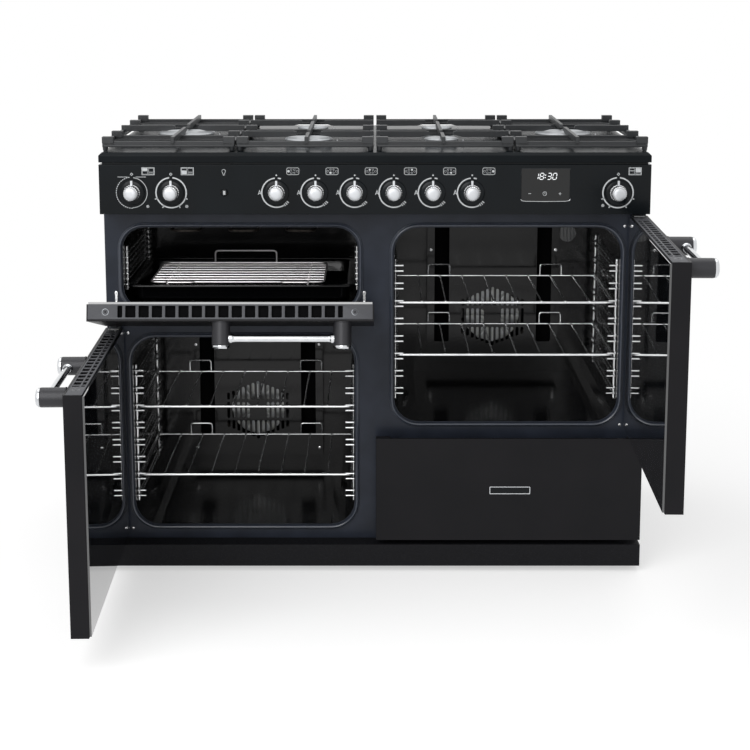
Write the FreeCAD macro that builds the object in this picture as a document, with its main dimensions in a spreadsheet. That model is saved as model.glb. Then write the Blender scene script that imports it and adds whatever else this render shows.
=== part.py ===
import FreeCAD, Part
import os
import re

# Range cooker, 1100 mm wide: two fan ovens with side-hung doors, a grill with a
# drop-down door, a storage drawer and a six-burner gas hob.
# X runs to the viewer's right, Y to the back, Z up. X = 0 is the middle of the cooker,
# Y = 0 the front face of the oven frame and Z = 0 the floor.

sizes = {
    # how far a cutting tool runs past the face it cuts
    "overcut": 1,
    # body
    "bodyWidth": 1100,
    "sheetWall": 2,
    "bodyRear": 559,
    "footRadius": 22,
    "footPad": 8,
    "footStem": 6,
    "footInset": 60,
    "plinthLow": 12.5,
    "plinthTop": 59,
    "plinthFront": 43,
    "frameThick": 3,
    "frameTop": 752.4,
    "ventCount": 9,
    "ventPitch": 60,
    "ventLength": 40,
    "ventHeight": 6,
    "ventDrop": 60,
    # oven openings
    "ovenJamb": 49.3,
    "leftInner": 42.4,
    "rightInner": 39.5,
    "leftFloor": 89,
    "leftCeiling": 490,
    "rightFloor": 311,
    "rightCeiling": 718.4,
    "ovenCorner": 50,
    "grillJamb": 36,
    "grillInner": 34.5,
    "grillFloor": 550,
    "grillCeiling": 718.6,
    "grillCorner": 45,
    "cavityDepth": 435,
    "linerWall": 2,
    "sealWidth": 10,
    "sealProud": 7.5,
    # fan units
    "fanHeight": 139,
    "baffleHalf": 151,
    "baffleDeep": 37,
    "baffleThick": 2,
    "baffleLow": 30,
    "baffleDrop": 12,
    "channelInner": 100.5,
    "channelOuter": 133.5,
    "channelLow": 80,
    "channelDrop": 34,
    "slotFieldRadius": 70,
    "slotPitch": 17.5,
    "slotWide": 9,
    "fanRadius": 64,
    "fanSetback": 28,
    "fanDeep": 18,
    "bladeThick": 2,
    "bladeCount": 12,
    "shaftRadius": 4,
    "shaftGap": 0.3,
    "shaftClear": 1,
    "motorRadius": 36,
    "motorLength": 52,
    "motorBore": 9,
    "ringRadius": 82,
    "ringWire": 3.5,
    "ringTail": 14,
    "lampRadius": 20,
    "lampDepth": 6,
    "lampAcross": 172,
    "lampUp": 327.6,
    # shelf ladders and shelves
    "wireRadius": 2,
    "ladderFront": 24,
    "ladderSetback": 50,
    "uprightInset": 26,
    "ladderSeat": 0.3,
    "rungOut": 6,
    "firstPair": 60,
    "pairPitch": 37,
    "pairGap": 5.7,
    "pairCount": 8,
    "shelfSide": 2.7,
    "shelfGap": 5.1,
    "shelfFront": 37,
    "shelfDepth": 305,
    "shelfBar": 3.2,
    "shelfWire": 1.8,
    "shelfWires": 8,
    "shelfStop": 24,
    "shelfStopWidth": 48,
    "shelfStopAcross": 126,
    # doors
    "splitGap": 2,
    "sideGap": 1,
    "doorFront": 45,
    "doorBack": 8,
    "doorSkin": 2,
    "glassThick": 4,
    "glassInset": 3,
    "leftDoorLow": 69,
    "leftDoorTop": 512.5,
    "rightDoorLow": 298,
    "rightDoorTop": 744.3,
    "grillDoorLow": 519.5,
    "grillDoorTop": 744.5,
    "pivotInset": 17,
    "pivotDepth": 26,
    "pinRadius": 4,
    "pinLength": 14,
    "pinGap": 0.3,
    "pinClear": 2,
    "bracketThick": 1.9,
    "bracketHalf": 11,
    "bracketEnd": 6,
    "bracketGap": 0.5,
    "ovenOpen": 88.5,
    "grillPivotDepth": 34,
    "grillPivotHeight": 532.5,
    "grillOpen": 75.5,
    "armInset": 20,
    "armThick": 4,
    "armHalf": 6,
    "notchHalf": 5.5,
    "notchTop": 25,
    "notchSkin": 4,
    "grillPin": 3,
    "grillPinGap": 0.4,
    "grillPinEnd": 0.5,
    "trimThick": 1.5,
    "trimFront": 41,
    "trimMargin": 58,
    "slotLength": 19.8,
    "trimPitch": 25.3,
    "trimSlotWide": 22.5,
    "trimEdge": 3.5,
    "trimCount": 17,
    "airwayDeep": 26,
    "airwayTall": 10,
    "trimSeat": 0.3,
    "postRadius": 17.5,
    "postLength": 45,
    "capLength": 8,
    "capRadius": 13,
    "handleSpan": 232,
    "handleRadius": 7,
    "handleOut": 32,
    "handleEdge": 44,
    "grillHandleEdge": 60.3,
    "leftHandle": 497.5,
    "rightHandle": 726.8,
    # drawer
    "drawerLow": 69.5,
    "drawerTop": 286.7,
    "drawerFrontThick": 20,
    "gripDepth": 12,
    "gripDrop": 9,
    "trayLow": 76,
    "trayTop": 268,
    "trayInset": 30,
    "trayRear": 430,
    "trayWall": 1.5,
    "trayClear": 5,
    "runnerThick": 11,
    "runnerHeight": 12,
    "runnerLow": 100,
    "runnerGap": 0.3,
    "runnerReach": 20,
    # grill
    "panSideGap": 5.75,
    "panFront": 5,
    "panDepth": 330,
    "panRim": 599,
    "panRimThick": 2,
    "panRimWide": 16,
    "panDeep": 34,
    "panWall": 1.5,
    "panCorner": 26,
    "grillRungs": 7,
    "grillRungLow": 594.7,
    "grillRungPitch": 11.3,
    "rackHalf": 178,
    "rackOff": 8,
    "rackFront": 14,
    "rackDepth": 226,
    "rackLift": 4,
    "rackBars": 17,
    "rackWire": 2,
    "rackGap": 0.3,
    "rackLegInset": 30,
    "rackBow": 67,
    "rackBowTall": 26,
    "grillWire": 3.2,
    "grillDrop": 18,
    "elementPitch": 60,
    "elementFront": 70,
    "elementStay": 30,
    # control panel
    "panelFront": 49,
    "panelTall": 99.9,
    "shadowInset": 6,
    "shadowTall": 4.1,
    "knobUp": 43.6,
    "endKnobInset": 65.5,
    "knobPitch": 78,
    "firstHobKnob": -196.5,
    "skirtRadius": 25,
    "skirtLength": 5,
    "skirtGap": 0.6,
    "barrelRadius": 15.5,
    "barrelLength": 22,
    "pointerHalf": 2.5,
    "pointerProud": 2,
    "spindleRadius": 4,
    "spindleHole": 5.2,
    "tapHalf": 14,
    "tapRear": 12,
    "tapHigh": 16,
    "spindleEnd": 28.3,
    "tapFace": 28,
    "tapTongue": 6,
    "boreGap": 0.3,
    "railRadius": 9,
    "feedRadius": 8,
    "railDepth": 2,
    "railHalf": 240,
    "inletRadius": 6.5,
    "inletDeep": 30,
    "buttonInset": 249.7,
    "buttonRadius": 7,
    "buttonProud": 3,
    "buttonRear": 44.5,
    "buttonStop": 42,
    "displayInset": 162,
    "displayWide": 96,
    "displayTall": 63.9,
    "displayDrop": 8.8,
    "displaySunk": 1,
    "displayFlange": 4,
    # hob
    "deckTall": 19.6,
    "deckBevel": 6,
    "deckWall": 3,
    "wokInset": 145,
    "wokDepth": 236,
    "burnerAcross": 137.5,
    "burnerFrontDepth": 106,
    "burnerRearDepth": 362,
    "cupRadius": 28,
    "cupClear": 2,
    "cupDrop": 26,
    "flangeHeight": 5,
    "flangeProud": 6,
    "headHeight": 6,
    "headInset": 3,
    "capHeight": 4.5,
    "smallCap": 35,
    "largeCap": 49,
    "wokCap": 60,
    "gridUp": 29,
    "gridBar": 7,
    "gridTall": 12,
    "railDrop": 9,
    "armDrop": 13,
    "blockWide": 23,
    "blockDeep": 15,
    "gridFront": -24,
    "gridRear": 496,
    "outerGridLow": 281,
    "gridInset": 4,
    "centreGridLow": 3,
    "centreGridHigh": 277,
    "gridFoot": 12,
    "gridSeat": 0.3,
    "burnerEye": 24,
    "electrodeRadius": 2.5,
    "electrodeHeight": 12,
}

doc = FreeCAD.newDocument("RangeCooker")
sheet = doc.addObject("Spreadsheet::Sheet", "Sizes")
for row, (alias, value) in enumerate(sizes.items(), start=1):
    sheet.set(f"A{row}", alias)
    sheet.set(f"B{row}", str(value))
    sheet.setAlias(f"B{row}", alias)
doc.recompute()

subparts = []
axes = "xyz"
turnTo = {
    "x": FreeCAD.Rotation(FreeCAD.Vector(0, 1, 0), 90),
    "y": FreeCAD.Rotation(FreeCAD.Vector(1, 0, 0), -90),
    "z": FreeCAD.Rotation(),
}


def bound(text):
    """The expression in which every size is read from the sheet."""
    return re.sub(r"[A-Za-z]\w*", lambda word: sheetName(word.group()), str(text))


def sheetName(word):
    return "Sizes." + word if word in sizes else word


def place(piece, corner):
    for axis, text in zip(axes, corner):
        piece.setExpression(f"Placement.Base.{axis}", bound(text))
    return piece


def box(x, y, z):
    """A block from the low and the high end of each axis."""
    piece = doc.addObject("Part::Box", "Block")
    for side, (low, high) in zip(("Length", "Width", "Height"), (x, y, z)):
        piece.setExpression(side, bound(f"({high}) - ({low})"))
    return place(piece, (x[0], y[0], z[0]))


def along(axis, piece, low, centre):
    """Stands a round piece on its axis: centre holds the other two coordinates."""
    corner = list(centre)
    corner.insert(axes.index(axis), low)
    piece.Placement = FreeCAD.Placement(FreeCAD.Vector(), turnTo[axis])
    return place(piece, corner)


def rod(axis, radius, span, centre, angle=360):
    piece = doc.addObject("Part::Cylinder", "Rod")
    piece.Angle = angle
    piece.setExpression("Radius", bound(radius))
    piece.setExpression("Height", bound(f"({span[1]}) - ({span[0]})"))
    return along(axis, piece, span[0], centre)


def wire(axis, radius, span, centre):
    """Thin wire, square in section, since there are so many of them."""
    spans = [(f"{middle} - {radius}", f"{middle} + {radius}") for middle in centre]
    spans.insert(axes.index(axis), span)
    return box(*spans)


def prism(axis, sides, radius, span, centre):
    """A small or hidden round piece with few flats."""
    piece = doc.addObject("Part::Prism", "Prism")
    piece.Polygon = sides
    piece.setExpression("Circumradius", bound(radius))
    piece.setExpression("Height", bound(f"({span[1]}) - ({span[0]})"))
    return along(axis, piece, span[0], centre)


def holeFor(axis, sides, radius, span, centre):
    """A faceted hole that a round shaft of this radius just fits."""
    return prism(axis, sides, f"({radius}) / cos(180 / {sides})", span, centre)


def ring(radius, wireSize, centre):
    """A ring element about an axis along Y."""
    across, y, up = centre
    span = (f"{y} - {wireSize}", f"{y} + {wireSize}")
    outer = prism("y", 16, f"{radius} + {wireSize}", span, (across, up))
    return cut(outer, prism("y", 16, f"{radius} - {wireSize}", grown(span, "overcut"), (across, up)))


def fuse(*pieces):
    if len(pieces) == 1:
        return pieces[0]
    joined = doc.addObject("Part::MultiFuse", "Joined")
    joined.Shapes = list(pieces)
    joined.Refine = True
    return joined


def cut(base, *tools):
    result = doc.addObject("Part::Cut", "Cut")
    result.Base = base
    result.Tool = fuse(*tools)
    result.Refine = True
    return result


def apart(*pieces):
    """Separate solids that share a name."""
    together = doc.addObject("Part::Compound", "Set")
    together.Links = list(pieces)
    return together


def keep(label, piece):
    piece.Label = label
    subparts.append(piece)
    return piece


def inner(span, margin):
    return (f"{span[0]} + ({margin})", f"{span[1]} - ({margin})")


def grown(span, margin):
    return (f"{span[0]} - ({margin})", f"{span[1]} + ({margin})")


def handed(side, low, high):
    """A stretch of X given for the right, put on the side asked for."""
    return (low, high) if side > 0 else (f"-({high})", f"-({low})")


def roundedBlock(x, y, z, radius, axis="y", sides=20):
    """A block whose four edges along one axis are rounded."""
    spans = dict(zip(axes, (x, y, z)))
    first, second = (name for name in axes if name != axis)
    pieces = []
    for narrowed in (first, second):
        reduced = dict(spans)
        reduced[narrowed] = inner(spans[narrowed], radius)
        pieces.append(box(*(reduced[name] for name in axes)))
    for a in inner(spans[first], radius):
        for b in inner(spans[second], radius):
            pieces.append(prism(axis, sides, radius, spans[axis], (a, b)))
    return fuse(*pieces)


# Places that follow from the sizes.
halfWidth = "bodyWidth / 2"
ovenOuter = f"({halfWidth} - ovenJamb)"
grillOuter = f"({halfWidth} - grillJamb)"
grillMiddle = f"(-({grillOuter} + grillInner) / 2)"
baffleFront = "(cavityDepth - baffleDeep)"
fanFront = "(cavityDepth - fanSetback)"
ladderRear = "(cavityDepth - ladderSetback)"
panelTop = "(frameTop + panelTall)"
knobHeight = "(frameTop + knobUp)"
tapLow = f"({knobHeight} - tapHigh)"
tapTop = f"({knobHeight} + tapHigh)"
displayTop = f"({panelTop} - displayDrop)"
displayFloor = f"({displayTop} - displayTall)"
displayHigh = f"({halfWidth} - displayInset)"
displayLow = f"({displayHigh} - displayWide)"
buttonAcross = f"(buttonInset - {halfWidth})"
deckLow = f"({panelTop} + shadowTall)"
deckTop = f"({deckLow} + deckTall)"
gridTop = f"({deckTop} + gridUp)"
wokAcross = f"({halfWidth} - wokInset)"

# Each opening: its stretch of X, its stretch of Z and its corner radius.
openings = {
    "left": ((f"-{ovenOuter}", "-leftInner"), ("leftFloor", "leftCeiling"), "ovenCorner"),
    "right": (("rightInner", ovenOuter), ("rightFloor", "rightCeiling"), "ovenCorner"),
    "grill": ((f"-{grillOuter}", "-grillInner"), ("grillFloor", "grillCeiling"), "grillCorner"),
}
ovenMiddle = {
    "left": f"(-({ovenOuter} + leftInner) / 2)",
    "right": f"(({ovenOuter} + rightInner) / 2)",
}
drawerOpening = (
    "splitGap + trayInset - trayClear",
    f"{halfWidth} - sideGap - trayInset + trayClear",
)


# ---- body -------------------------------------------------------------------


def sidePanels():
    y = ("frameThick", "bodyRear")
    z = ("plinthTop", deckLow)
    walls = [box(handed(side, f"{halfWidth} - sheetWall", halfWidth), y, z) for side in (-1, 1)]
    keep("side_panels", apart(*walls))


def backPanel():
    x = (f"-{halfWidth} + sheetWall", f"{halfWidth} - sheetWall")
    y = ("bodyRear - sheetWall", "bodyRear")
    sheetMetal = box(x, y, ("plinthTop", deckLow))
    through = grown(y, "overcut")
    z = (f"{deckLow} - ventDrop", f"{deckLow} - ventDrop + ventHeight")
    vents = []
    for index in range(sizes["ventCount"]):
        start = f"({index} - (ventCount - 1) / 2) * ventPitch - ventLength / 2"
        vents.append(box((start, f"{start} + ventLength"), through, z))
    feedCentre = ("railHalf", f"{tapLow} - railRadius")
    pipeHole = prism("y", 12, "feedRadius + 2 * boreGap", through, feedCentre)
    keep("back_panel", cut(sheetMetal, *vents, pipeHole))


def frontFrame():
    y = ("0", "frameThick")
    plate = box((f"-{halfWidth}", halfWidth), y, ("plinthTop", "frameTop"))
    holes = [roundedBlock(x, grown(y, "overcut"), z, radius) for x, z, radius in openings.values()]
    holes.append(box(drawerOpening, grown(y, "overcut"), ("trayLow - trayClear", "trayTop + trayClear")))
    keep("front_frame", cut(plate, *holes))


def plinth():
    outer = box((f"-{halfWidth}", halfWidth), ("-plinthFront", "bodyRear"), ("plinthLow", "plinthTop"))
    hollow = box(
        (f"-{halfWidth} + sheetWall", f"{halfWidth} - sheetWall"),
        ("-plinthFront + sheetWall", "bodyRear - sheetWall"),
        ("plinthLow - overcut", "plinthTop - sheetWall"),
    )
    keep("plinth", cut(outer, hollow))


def levelingFeet():
    feet = []
    for side in (-1, 1):
        for y in ("footInset - plinthFront", "bodyRear - footInset"):
            centre = (f"{side} * ({halfWidth} - footInset)", y)
            pad = prism("z", 10, "footRadius", ("0", "footPad"), centre)
            stem = prism("z", 4, "footStem", ("footPad", "plinthTop - sheetWall"), centre)
            feet.append(fuse(pad, stem))
    keep("leveling_feet", apart(*feet))


# ---- oven and grill cavities ------------------------------------------------


def liner(label, opening, throughBack):
    x, z, radius = openings[opening]
    y = ("frameThick", "cavityDepth + linerWall")
    outer = roundedBlock(grown(x, "linerWall"), y, grown(z, "linerWall"), f"{radius} + linerWall", sides=12)
    hollow = roundedBlock(x, ("frameThick - overcut", "cavityDepth"), z, radius)
    keep(label, cut(outer, hollow, *throughBack))


def ovenLiners():
    for name in ("left", "right"):
        through = grown(("cavityDepth", "cavityDepth + linerWall"), "overcut")
        shaftHole = holeFor("y", 8, "shaftRadius + shaftClear", through, fanCentre(name))
        liner(f"oven_liner_{name}", name, [shaftHole])
    liner("grill_liner", "grill", [])


def fanCentre(name):
    return (ovenMiddle[name], f"{name}Floor + fanHeight")


def doorSeals():
    y = ("-sealProud", "0")
    rings = []
    for x, z, radius in openings.values():
        around = (grown(x, "sealWidth"), y, grown(z, "sealWidth"))
        outer = roundedBlock(*around, f"{radius} + sealWidth", sides=12)
        rings.append(cut(outer, roundedBlock(x, grown(y, "overcut"), z, radius, sides=12)))
    keep("door_seals", apart(*rings))


# The three rows of slots in front of each fan, as parts of the slotted circle's radius.
slotRows = ((-1.0, -0.52), (-0.42, 0.16), (0.26, 0.9))
shortestSlot = 0.2


def slotField(name, y):
    """Rows of upright slots that fill a circle, less the middle, where the fan's nut sits."""
    across, up = fanCentre(name)
    radius, pitch = sizes["slotFieldRadius"], sizes["slotPitch"]
    columns = int(radius / pitch)
    slots = []
    for row, (low, high) in enumerate(slotRows):
        for column in range(-columns, columns + 1):
            reach = (1 - (column * pitch / radius) ** 2) ** 0.5
            bottom, top = max(low, -reach), min(high, reach)
            if top - bottom < shortestSlot or (row == 1 and abs(column) < 2):
                continue
            start = f"{across} + {column} * slotPitch - slotWide / 2"
            z = (f"{up} + slotFieldRadius * {bottom:.3f}", f"{up} + slotFieldRadius * {top:.3f}")
            slots.append(box((start, f"{start} + slotWide"), y, z))
    return slots


def fanCovers():
    for name in ("left", "right"):
        middle = ovenMiddle[name]
        x = (f"{middle} - baffleHalf", f"{middle} + baffleHalf")
        z = (f"{name}Floor + baffleLow", f"{name}Ceiling - baffleDrop")
        shell = box(x, (baffleFront, "cavityDepth"), z)
        within = (f"{baffleFront} + baffleThick", "cavityDepth + overcut")
        hollow = box(inner(x, "baffleThick"), within, inner(z, "baffleThick"))
        front = grown((baffleFront, f"{baffleFront} + baffleThick"), "overcut")
        channelZ = (f"{name}Floor + channelLow", f"{name}Ceiling - channelDrop")
        channels = []
        for side in (-1, 1):
            low, high = handed(side, "channelInner", "channelOuter")
            channels.append(box((f"{middle} + ({low})", f"{middle} + ({high})"), front, channelZ))
        keep(f"fan_cover_{name}", cut(shell, hollow, *channels, *slotField(name, front)))


def fans():
    for name in ("left", "right"):
        across, up = fanCentre(name)
        blades = []
        for index in range(sizes["bladeCount"]):
            blade = doc.addObject("Part::Box", "Blade")
            blade.setExpression("Length", bound("fanRadius - shaftRadius"))
            blade.setExpression("Width", bound("fanDeep"))
            blade.setExpression("Height", bound("bladeThick"))
            turn = FreeCAD.Rotation(FreeCAD.Vector(0, 1, 0), index * 360 / sizes["bladeCount"])
            blade.Placement = FreeCAD.Placement(FreeCAD.Vector(), turn)
            blades.append(place(blade, (across, fanFront, up)))
        rear = f"{fanFront} + fanDeep"
        disc = prism("y", sizes["bladeCount"], "fanRadius", (rear, f"{rear} + bladeThick"), (across, up))
        shaftEnd = "cavityDepth + linerWall + motorBore - shaftGap"
        shaft = rod("y", "shaftRadius", (fanFront, shaftEnd), (across, up))
        keep(f"fan_{name}", fuse(shaft, disc, *blades))


def fanMotors():
    motors = []
    for name in ("left", "right"):
        y = ("cavityDepth + linerWall", "cavityDepth + linerWall + motorLength")
        can = prism("y", 16, "motorRadius", y, fanCentre(name))
        boreY = (f"{y[0]} - overcut", f"{y[0]} + motorBore")
        bore = holeFor("y", 8, "shaftRadius + shaftGap", boreY, fanCentre(name))
        motors.append(cut(can, bore))
    keep("fan_motors", apart(*motors))


def heatingElements():
    pieces = []
    for name in ("left", "right"):
        across, up = fanCentre(name)
        y = f"{fanFront} + fanDeep / 2"
        loop = ring("ringRadius", "ringWire", (across, y, up))
        tails = []
        for side in (-1, 1):
            centre = (f"{across} + {side} * ringTail", f"{up} + (ringRadius ^ 2 - ringTail ^ 2) ^ 0.5")
            tails.append(wire("y", "ringWire", (y, "cavityDepth"), centre))
        pieces.append(fuse(loop, *tails))
    pieces.append(grillElement())
    keep("heating_elements", apart(*pieces))


def grillElement():
    """Three hairpins of tube under the grill's ceiling, held by their tails in the back wall."""
    up = "grillCeiling - grillDrop"
    wires = []
    for leg in (-2.5, -1.5, -0.5, 0.5, 1.5, 2.5):
        across = f"{grillMiddle} + {leg} * elementPitch"
        wires.append(wire("y", "grillWire", ("elementFront", "cavityDepth"), (across, up)))
    for leg in (-2.5, -0.5, 1.5):
        turn = f"{grillMiddle} + {leg} * elementPitch"
        wires.append(wire("x", "grillWire", (turn, f"{turn} + elementPitch"), ("elementFront", up)))
    ends = (f"{grillMiddle} - 2.5 * elementPitch", f"{grillMiddle} + 2.5 * elementPitch")
    return fuse(*wires, wire("x", "grillWire", ends, ("cavityDepth - elementStay", up)))


def lamps():
    lenses = []
    for name in ("left", "right"):
        centre = (f"{ovenMiddle[name]} + lampAcross", f"{name}Floor + lampUp")
        lenses.append(prism("y", 12, "lampRadius", ("cavityDepth - lampDepth", "cavityDepth"), centre))
    keep("oven_lamps", apart(*lenses))


def ladder(wallX, side, heights, between):
    """One side's wire rack: rungs, a full upright behind, short ones in front and bent-in ends."""
    rungX = f"{wallX} + {side} * rungOut"
    hook = (f"{wallX} + ladderSeat", rungX) if side > 0 else (rungX, f"{wallX} - ladderSeat")
    front = "ladderFront + uprightInset"
    rear = f"{ladderRear} - uprightInset"
    span = (f"{heights[0]} - wireRadius", f"{heights[-1]} + wireRadius")
    pieces = [wire("z", "wireRadius", span, (rungX, rear))]
    for height in heights:
        pieces.append(wire("y", "wireRadius", ("ladderFront", rear), (rungX, height)))
    for low, high in between:
        pieces.append(wire("z", "wireRadius", (low, high), (rungX, front)))
    for height in (heights[1], heights[-2]):
        for y in (front, rear):
            pieces.append(wire("x", "wireRadius", hook, (y, height)))
    return fuse(*pieces)


def ladders():
    sides = []
    for name in ("left", "right"):
        (low, high), (floor, ceiling), radius = openings[name]
        levels = [f"{floor} + firstPair + {index} * pairPitch" for index in range(sizes["pairCount"])]
        heights = [f"{level} {sign} pairGap" for level in levels for sign in "-+"]
        between = list(zip(heights[1:-1:2], heights[2::2]))
        sides.append(ladder(low, 1, heights, between))
        sides.append(ladder(high, -1, heights, between))
    heights = [f"grillRungLow + {index} * grillRungPitch" for index in range(sizes["grillRungs"])]
    between = [(heights[1], heights[-1])]
    sides.append(ladder(f"-{grillOuter}", 1, heights, between))
    sides.append(ladder("-grillInner", -1, heights, between))
    keep("shelf_ladders", apart(*sides))


def shelf(label, name, pair):
    """Wire shelf: front bar, rear bar and sides, cross wires, and two stops that stand up behind."""
    (low, high), (floor, ceiling), radius = openings[name]
    middle = ovenMiddle[name]
    z = f"{floor} + firstPair + {pair} * pairPitch"
    x = inner((low, high), "shelfGap + shelfSide")
    y = ("shelfFront", "shelfFront + shelfDepth")
    pieces = [
        wire("x", "shelfBar", x, (y[0], z)),
        wire("x", "shelfSide", x, (y[1], z)),
        wire("y", "shelfSide", y, (x[0], z)),
        wire("y", "shelfSide", y, (x[1], z)),
    ]
    for index in range(sizes["shelfWires"]):
        crossX = f"{x[0]} + (({x[1]}) - ({x[0]})) * {index + 1} / (shelfWires + 1)"
        pieces.append(wire("y", "shelfWire", y, (crossX, z)))
    for side in (-1, 1):
        centre = f"{middle} + {side} * shelfStopAcross"
        span = (f"{centre} - shelfStopWidth / 2", f"{centre} + shelfStopWidth / 2")
        for legX in span:
            pieces.append(wire("z", "shelfWire", (z, f"{z} + shelfStop"), (legX, y[1])))
        pieces.append(wire("x", "shelfWire", grown(span, "shelfWire"), (y[1], f"{z} + shelfStop")))
    keep(label, fuse(*pieces))


def shelves():
    shelf("shelf_left_lower", "left", 1)
    shelf("shelf_left_upper", "left", 5)
    shelf("shelf_right_lower", "right", 2)
    shelf("shelf_right_upper", "right", 5)


# ---- doors, made closed and swung open about their pivots ---------------------

doorX = {
    "left": (f"-{halfWidth} + sideGap", "-splitGap"),
    "right": ("splitGap", f"{halfWidth} - sideGap"),
    "grill": (f"-{halfWidth} + sideGap", "-splitGap"),
}
doorZ = {
    "left": ("leftDoorLow", "leftDoorTop"),
    "right": ("rightDoorLow", "rightDoorTop"),
    "grill": ("grillDoorLow", "grillDoorTop"),
}
pivotX = {
    "left": f"-{halfWidth} + sideGap + pivotInset",
    "right": f"{halfWidth} - sideGap - pivotInset",
}


def swing(piece, name):
    """Turns a door piece about its hinge to the angle at which it stands open."""
    if name == "grill":
        turned, across, up = "grillOpen", "-grillPivotDepth", "grillPivotHeight"
        piece.Placement = FreeCAD.Placement(FreeCAD.Vector(), FreeCAD.Rotation(FreeCAD.Vector(1, 0, 0), 1))
        corner = ("0", f"{across} - ({across} * cos({turned}) - {up} * sin({turned}))",
                  f"{up} - ({across} * sin({turned}) + {up} * cos({turned}))")
    else:
        sign = -1 if name == "left" else 1
        turned, across, back = f"{sign} * ovenOpen", f"({pivotX[name]})", "-pivotDepth"
        piece.Placement = FreeCAD.Placement(FreeCAD.Vector(), FreeCAD.Rotation(FreeCAD.Vector(0, 0, 1), 1))
        corner = (f"{across} - ({across} * cos({turned}) - ({back}) * sin({turned}))",
                  f"{back} - ({across} * sin({turned}) + ({back}) * cos({turned}))", "0")
    piece.setExpression("Placement.Rotation.Angle", bound(turned))
    return place(piece, corner)


def trimSlots(name):
    """The row of air slots along a door's top edge."""
    x, (low, top) = doorX[name], doorZ[name]
    z = grown((f"{top} - trimThick", top), "overcut")
    middle = f"(({x[0]}) + ({x[1]})) / 2"
    y = ("-trimFront + trimEdge", "-trimFront + trimEdge + trimSlotWide")
    slots = []
    for index in range(sizes["trimCount"]):
        start = f"{middle} + ({index} - (trimCount - 1) / 2) * trimPitch - slotLength / 2"
        slots.append(box((start, f"{start} + slotLength"), y, z))
    return slots


def doorSkin(name):
    x, (low, top) = doorX[name], doorZ[name]
    rear = "-doorBack - glassThick"
    shell = box(x, ("-doorFront", rear), (low, top))
    over = f"{top} + overcut"
    airwayY = ("-trimFront + trimEdge", "-trimFront + airwayDeep")
    airway = box(inner(x, "trimMargin"), airwayY, (f"{top} - airwayTall", over))
    recess = box(inner(x, "doorSkin"), ("-trimFront", f"{rear} + overcut"), (f"{top} - trimThick", over))
    y = ("-doorFront + doorSkin", f"{rear} + overcut")
    within = f"{top} - trimThick - doorSkin"
    tools = [airway, recess]
    if name == "grill":
        tools.append(box(inner(x, "doorSkin"), y, (f"{low} + notchTop + doorSkin", within)))
        tools.append(box(inner(x, "armInset + notchHalf + doorSkin"), y, (f"{low} + doorSkin", within)))
        notchY = ("-doorFront + notchSkin", f"{rear} + overcut")
        for across in armX():
            notch = (f"{across} - notchHalf", f"{across} + notchHalf")
            tools.append(box(notch, notchY, (f"{low} - overcut", f"{low} + notchTop")))
        reach = f"{armX()[0]} + notchHalf"
        wall = grown((reach, f"{reach} + doorSkin"), "overcut")
        pivot = ("-grillPivotDepth", "grillPivotHeight")
        for span in (wall, handedGrill(*wall)):
            tools.append(prism("x", 12, "grillPin + grillPinGap", span, pivot))
    else:
        tools.append(box(inner(x, "doorSkin"), y, (f"{low} + doorSkin", within)))
        centre = (pivotX[name], "-pivotDepth")
        tools.append(rod("z", "pinRadius + pinGap", grown((low, f"{low} + doorSkin"), "overcut"), centre))
        tools.append(holeFor("z", 10, "pinRadius + pinGap", (f"{within} - overcut", over), centre))
    return cut(shell, *tools)


def armX():
    x = doorX["grill"]
    return [f"{x[0]} + armInset", f"{x[1]} - armInset"]


def handedGrill(low, high):
    """The same stretch of X, mirrored about the middle of the grill door."""
    x = doorX["grill"]
    total = f"(({x[0]}) + ({x[1]}))"
    return (f"{total} - ({high})", f"{total} - ({low})")


def doorGlass(name):
    x, (low, top) = doorX[name], doorZ[name]
    bottom = f"{low} + notchTop + doorSkin" if name == "grill" else f"{low} + glassInset"
    y = ("-doorBack - glassThick", "-doorBack")
    return apart(box(inner(x, "glassInset"), y, (bottom, f"{top} - glassInset")))


def doorTrim(name):
    x, (low, top) = doorX[name], doorZ[name]
    z = (f"{top} - trimThick", top)
    strip = box(inner(x, "doorSkin + trimSeat"), ("-trimFront", "-doorBack - glassThick"), z)
    holes = trimSlots(name)
    if name != "grill":
        centre = (pivotX[name], "-pivotDepth")
        holes.append(prism("z", 8, "pinRadius + pinClear", grown(z, "overcut"), centre))
    return cut(strip, *holes)


def handle(name):
    """Two posts with turned end caps and a bar between them."""
    x = doorX[name]
    up = {"left": "leftHandle", "right": "rightHandle", "grill": "grillDoorTop - postRadius"}[name]
    if name == "right":
        first = f"{x[0]} + handleEdge"
        posts = (first, f"{first} + handleSpan")
    else:
        first = f"{x[1]} - " + ("grillHandleEdge" if name == "grill" else "handleEdge")
        posts = (f"{first} - handleSpan", first)
    end = "-doorFront - postLength"
    pieces = [prism("x", 12, "handleRadius", posts, ("-doorFront - handleOut", up))]
    for post in posts:
        pieces.append(prism("y", 16, "postRadius", (end, "-doorFront"), (post, up)))
        pieces.append(prism("y", 16, "capRadius", (f"{end} - capLength", end), (post, up)))
    return fuse(*pieces)


def doors():
    names = {"left": "oven_door_left", "right": "oven_door_right", "grill": "grill_door"}
    for name, label in names.items():
        keep(f"{label}_skin", swing(doorSkin(name), name))
        keep(f"{label}_glass", swing(doorGlass(name), name))
        keep(f"{label}_vent_trim", swing(doorTrim(name), name))
        keep(f"{label}_handle", swing(handle(name), name))


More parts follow.
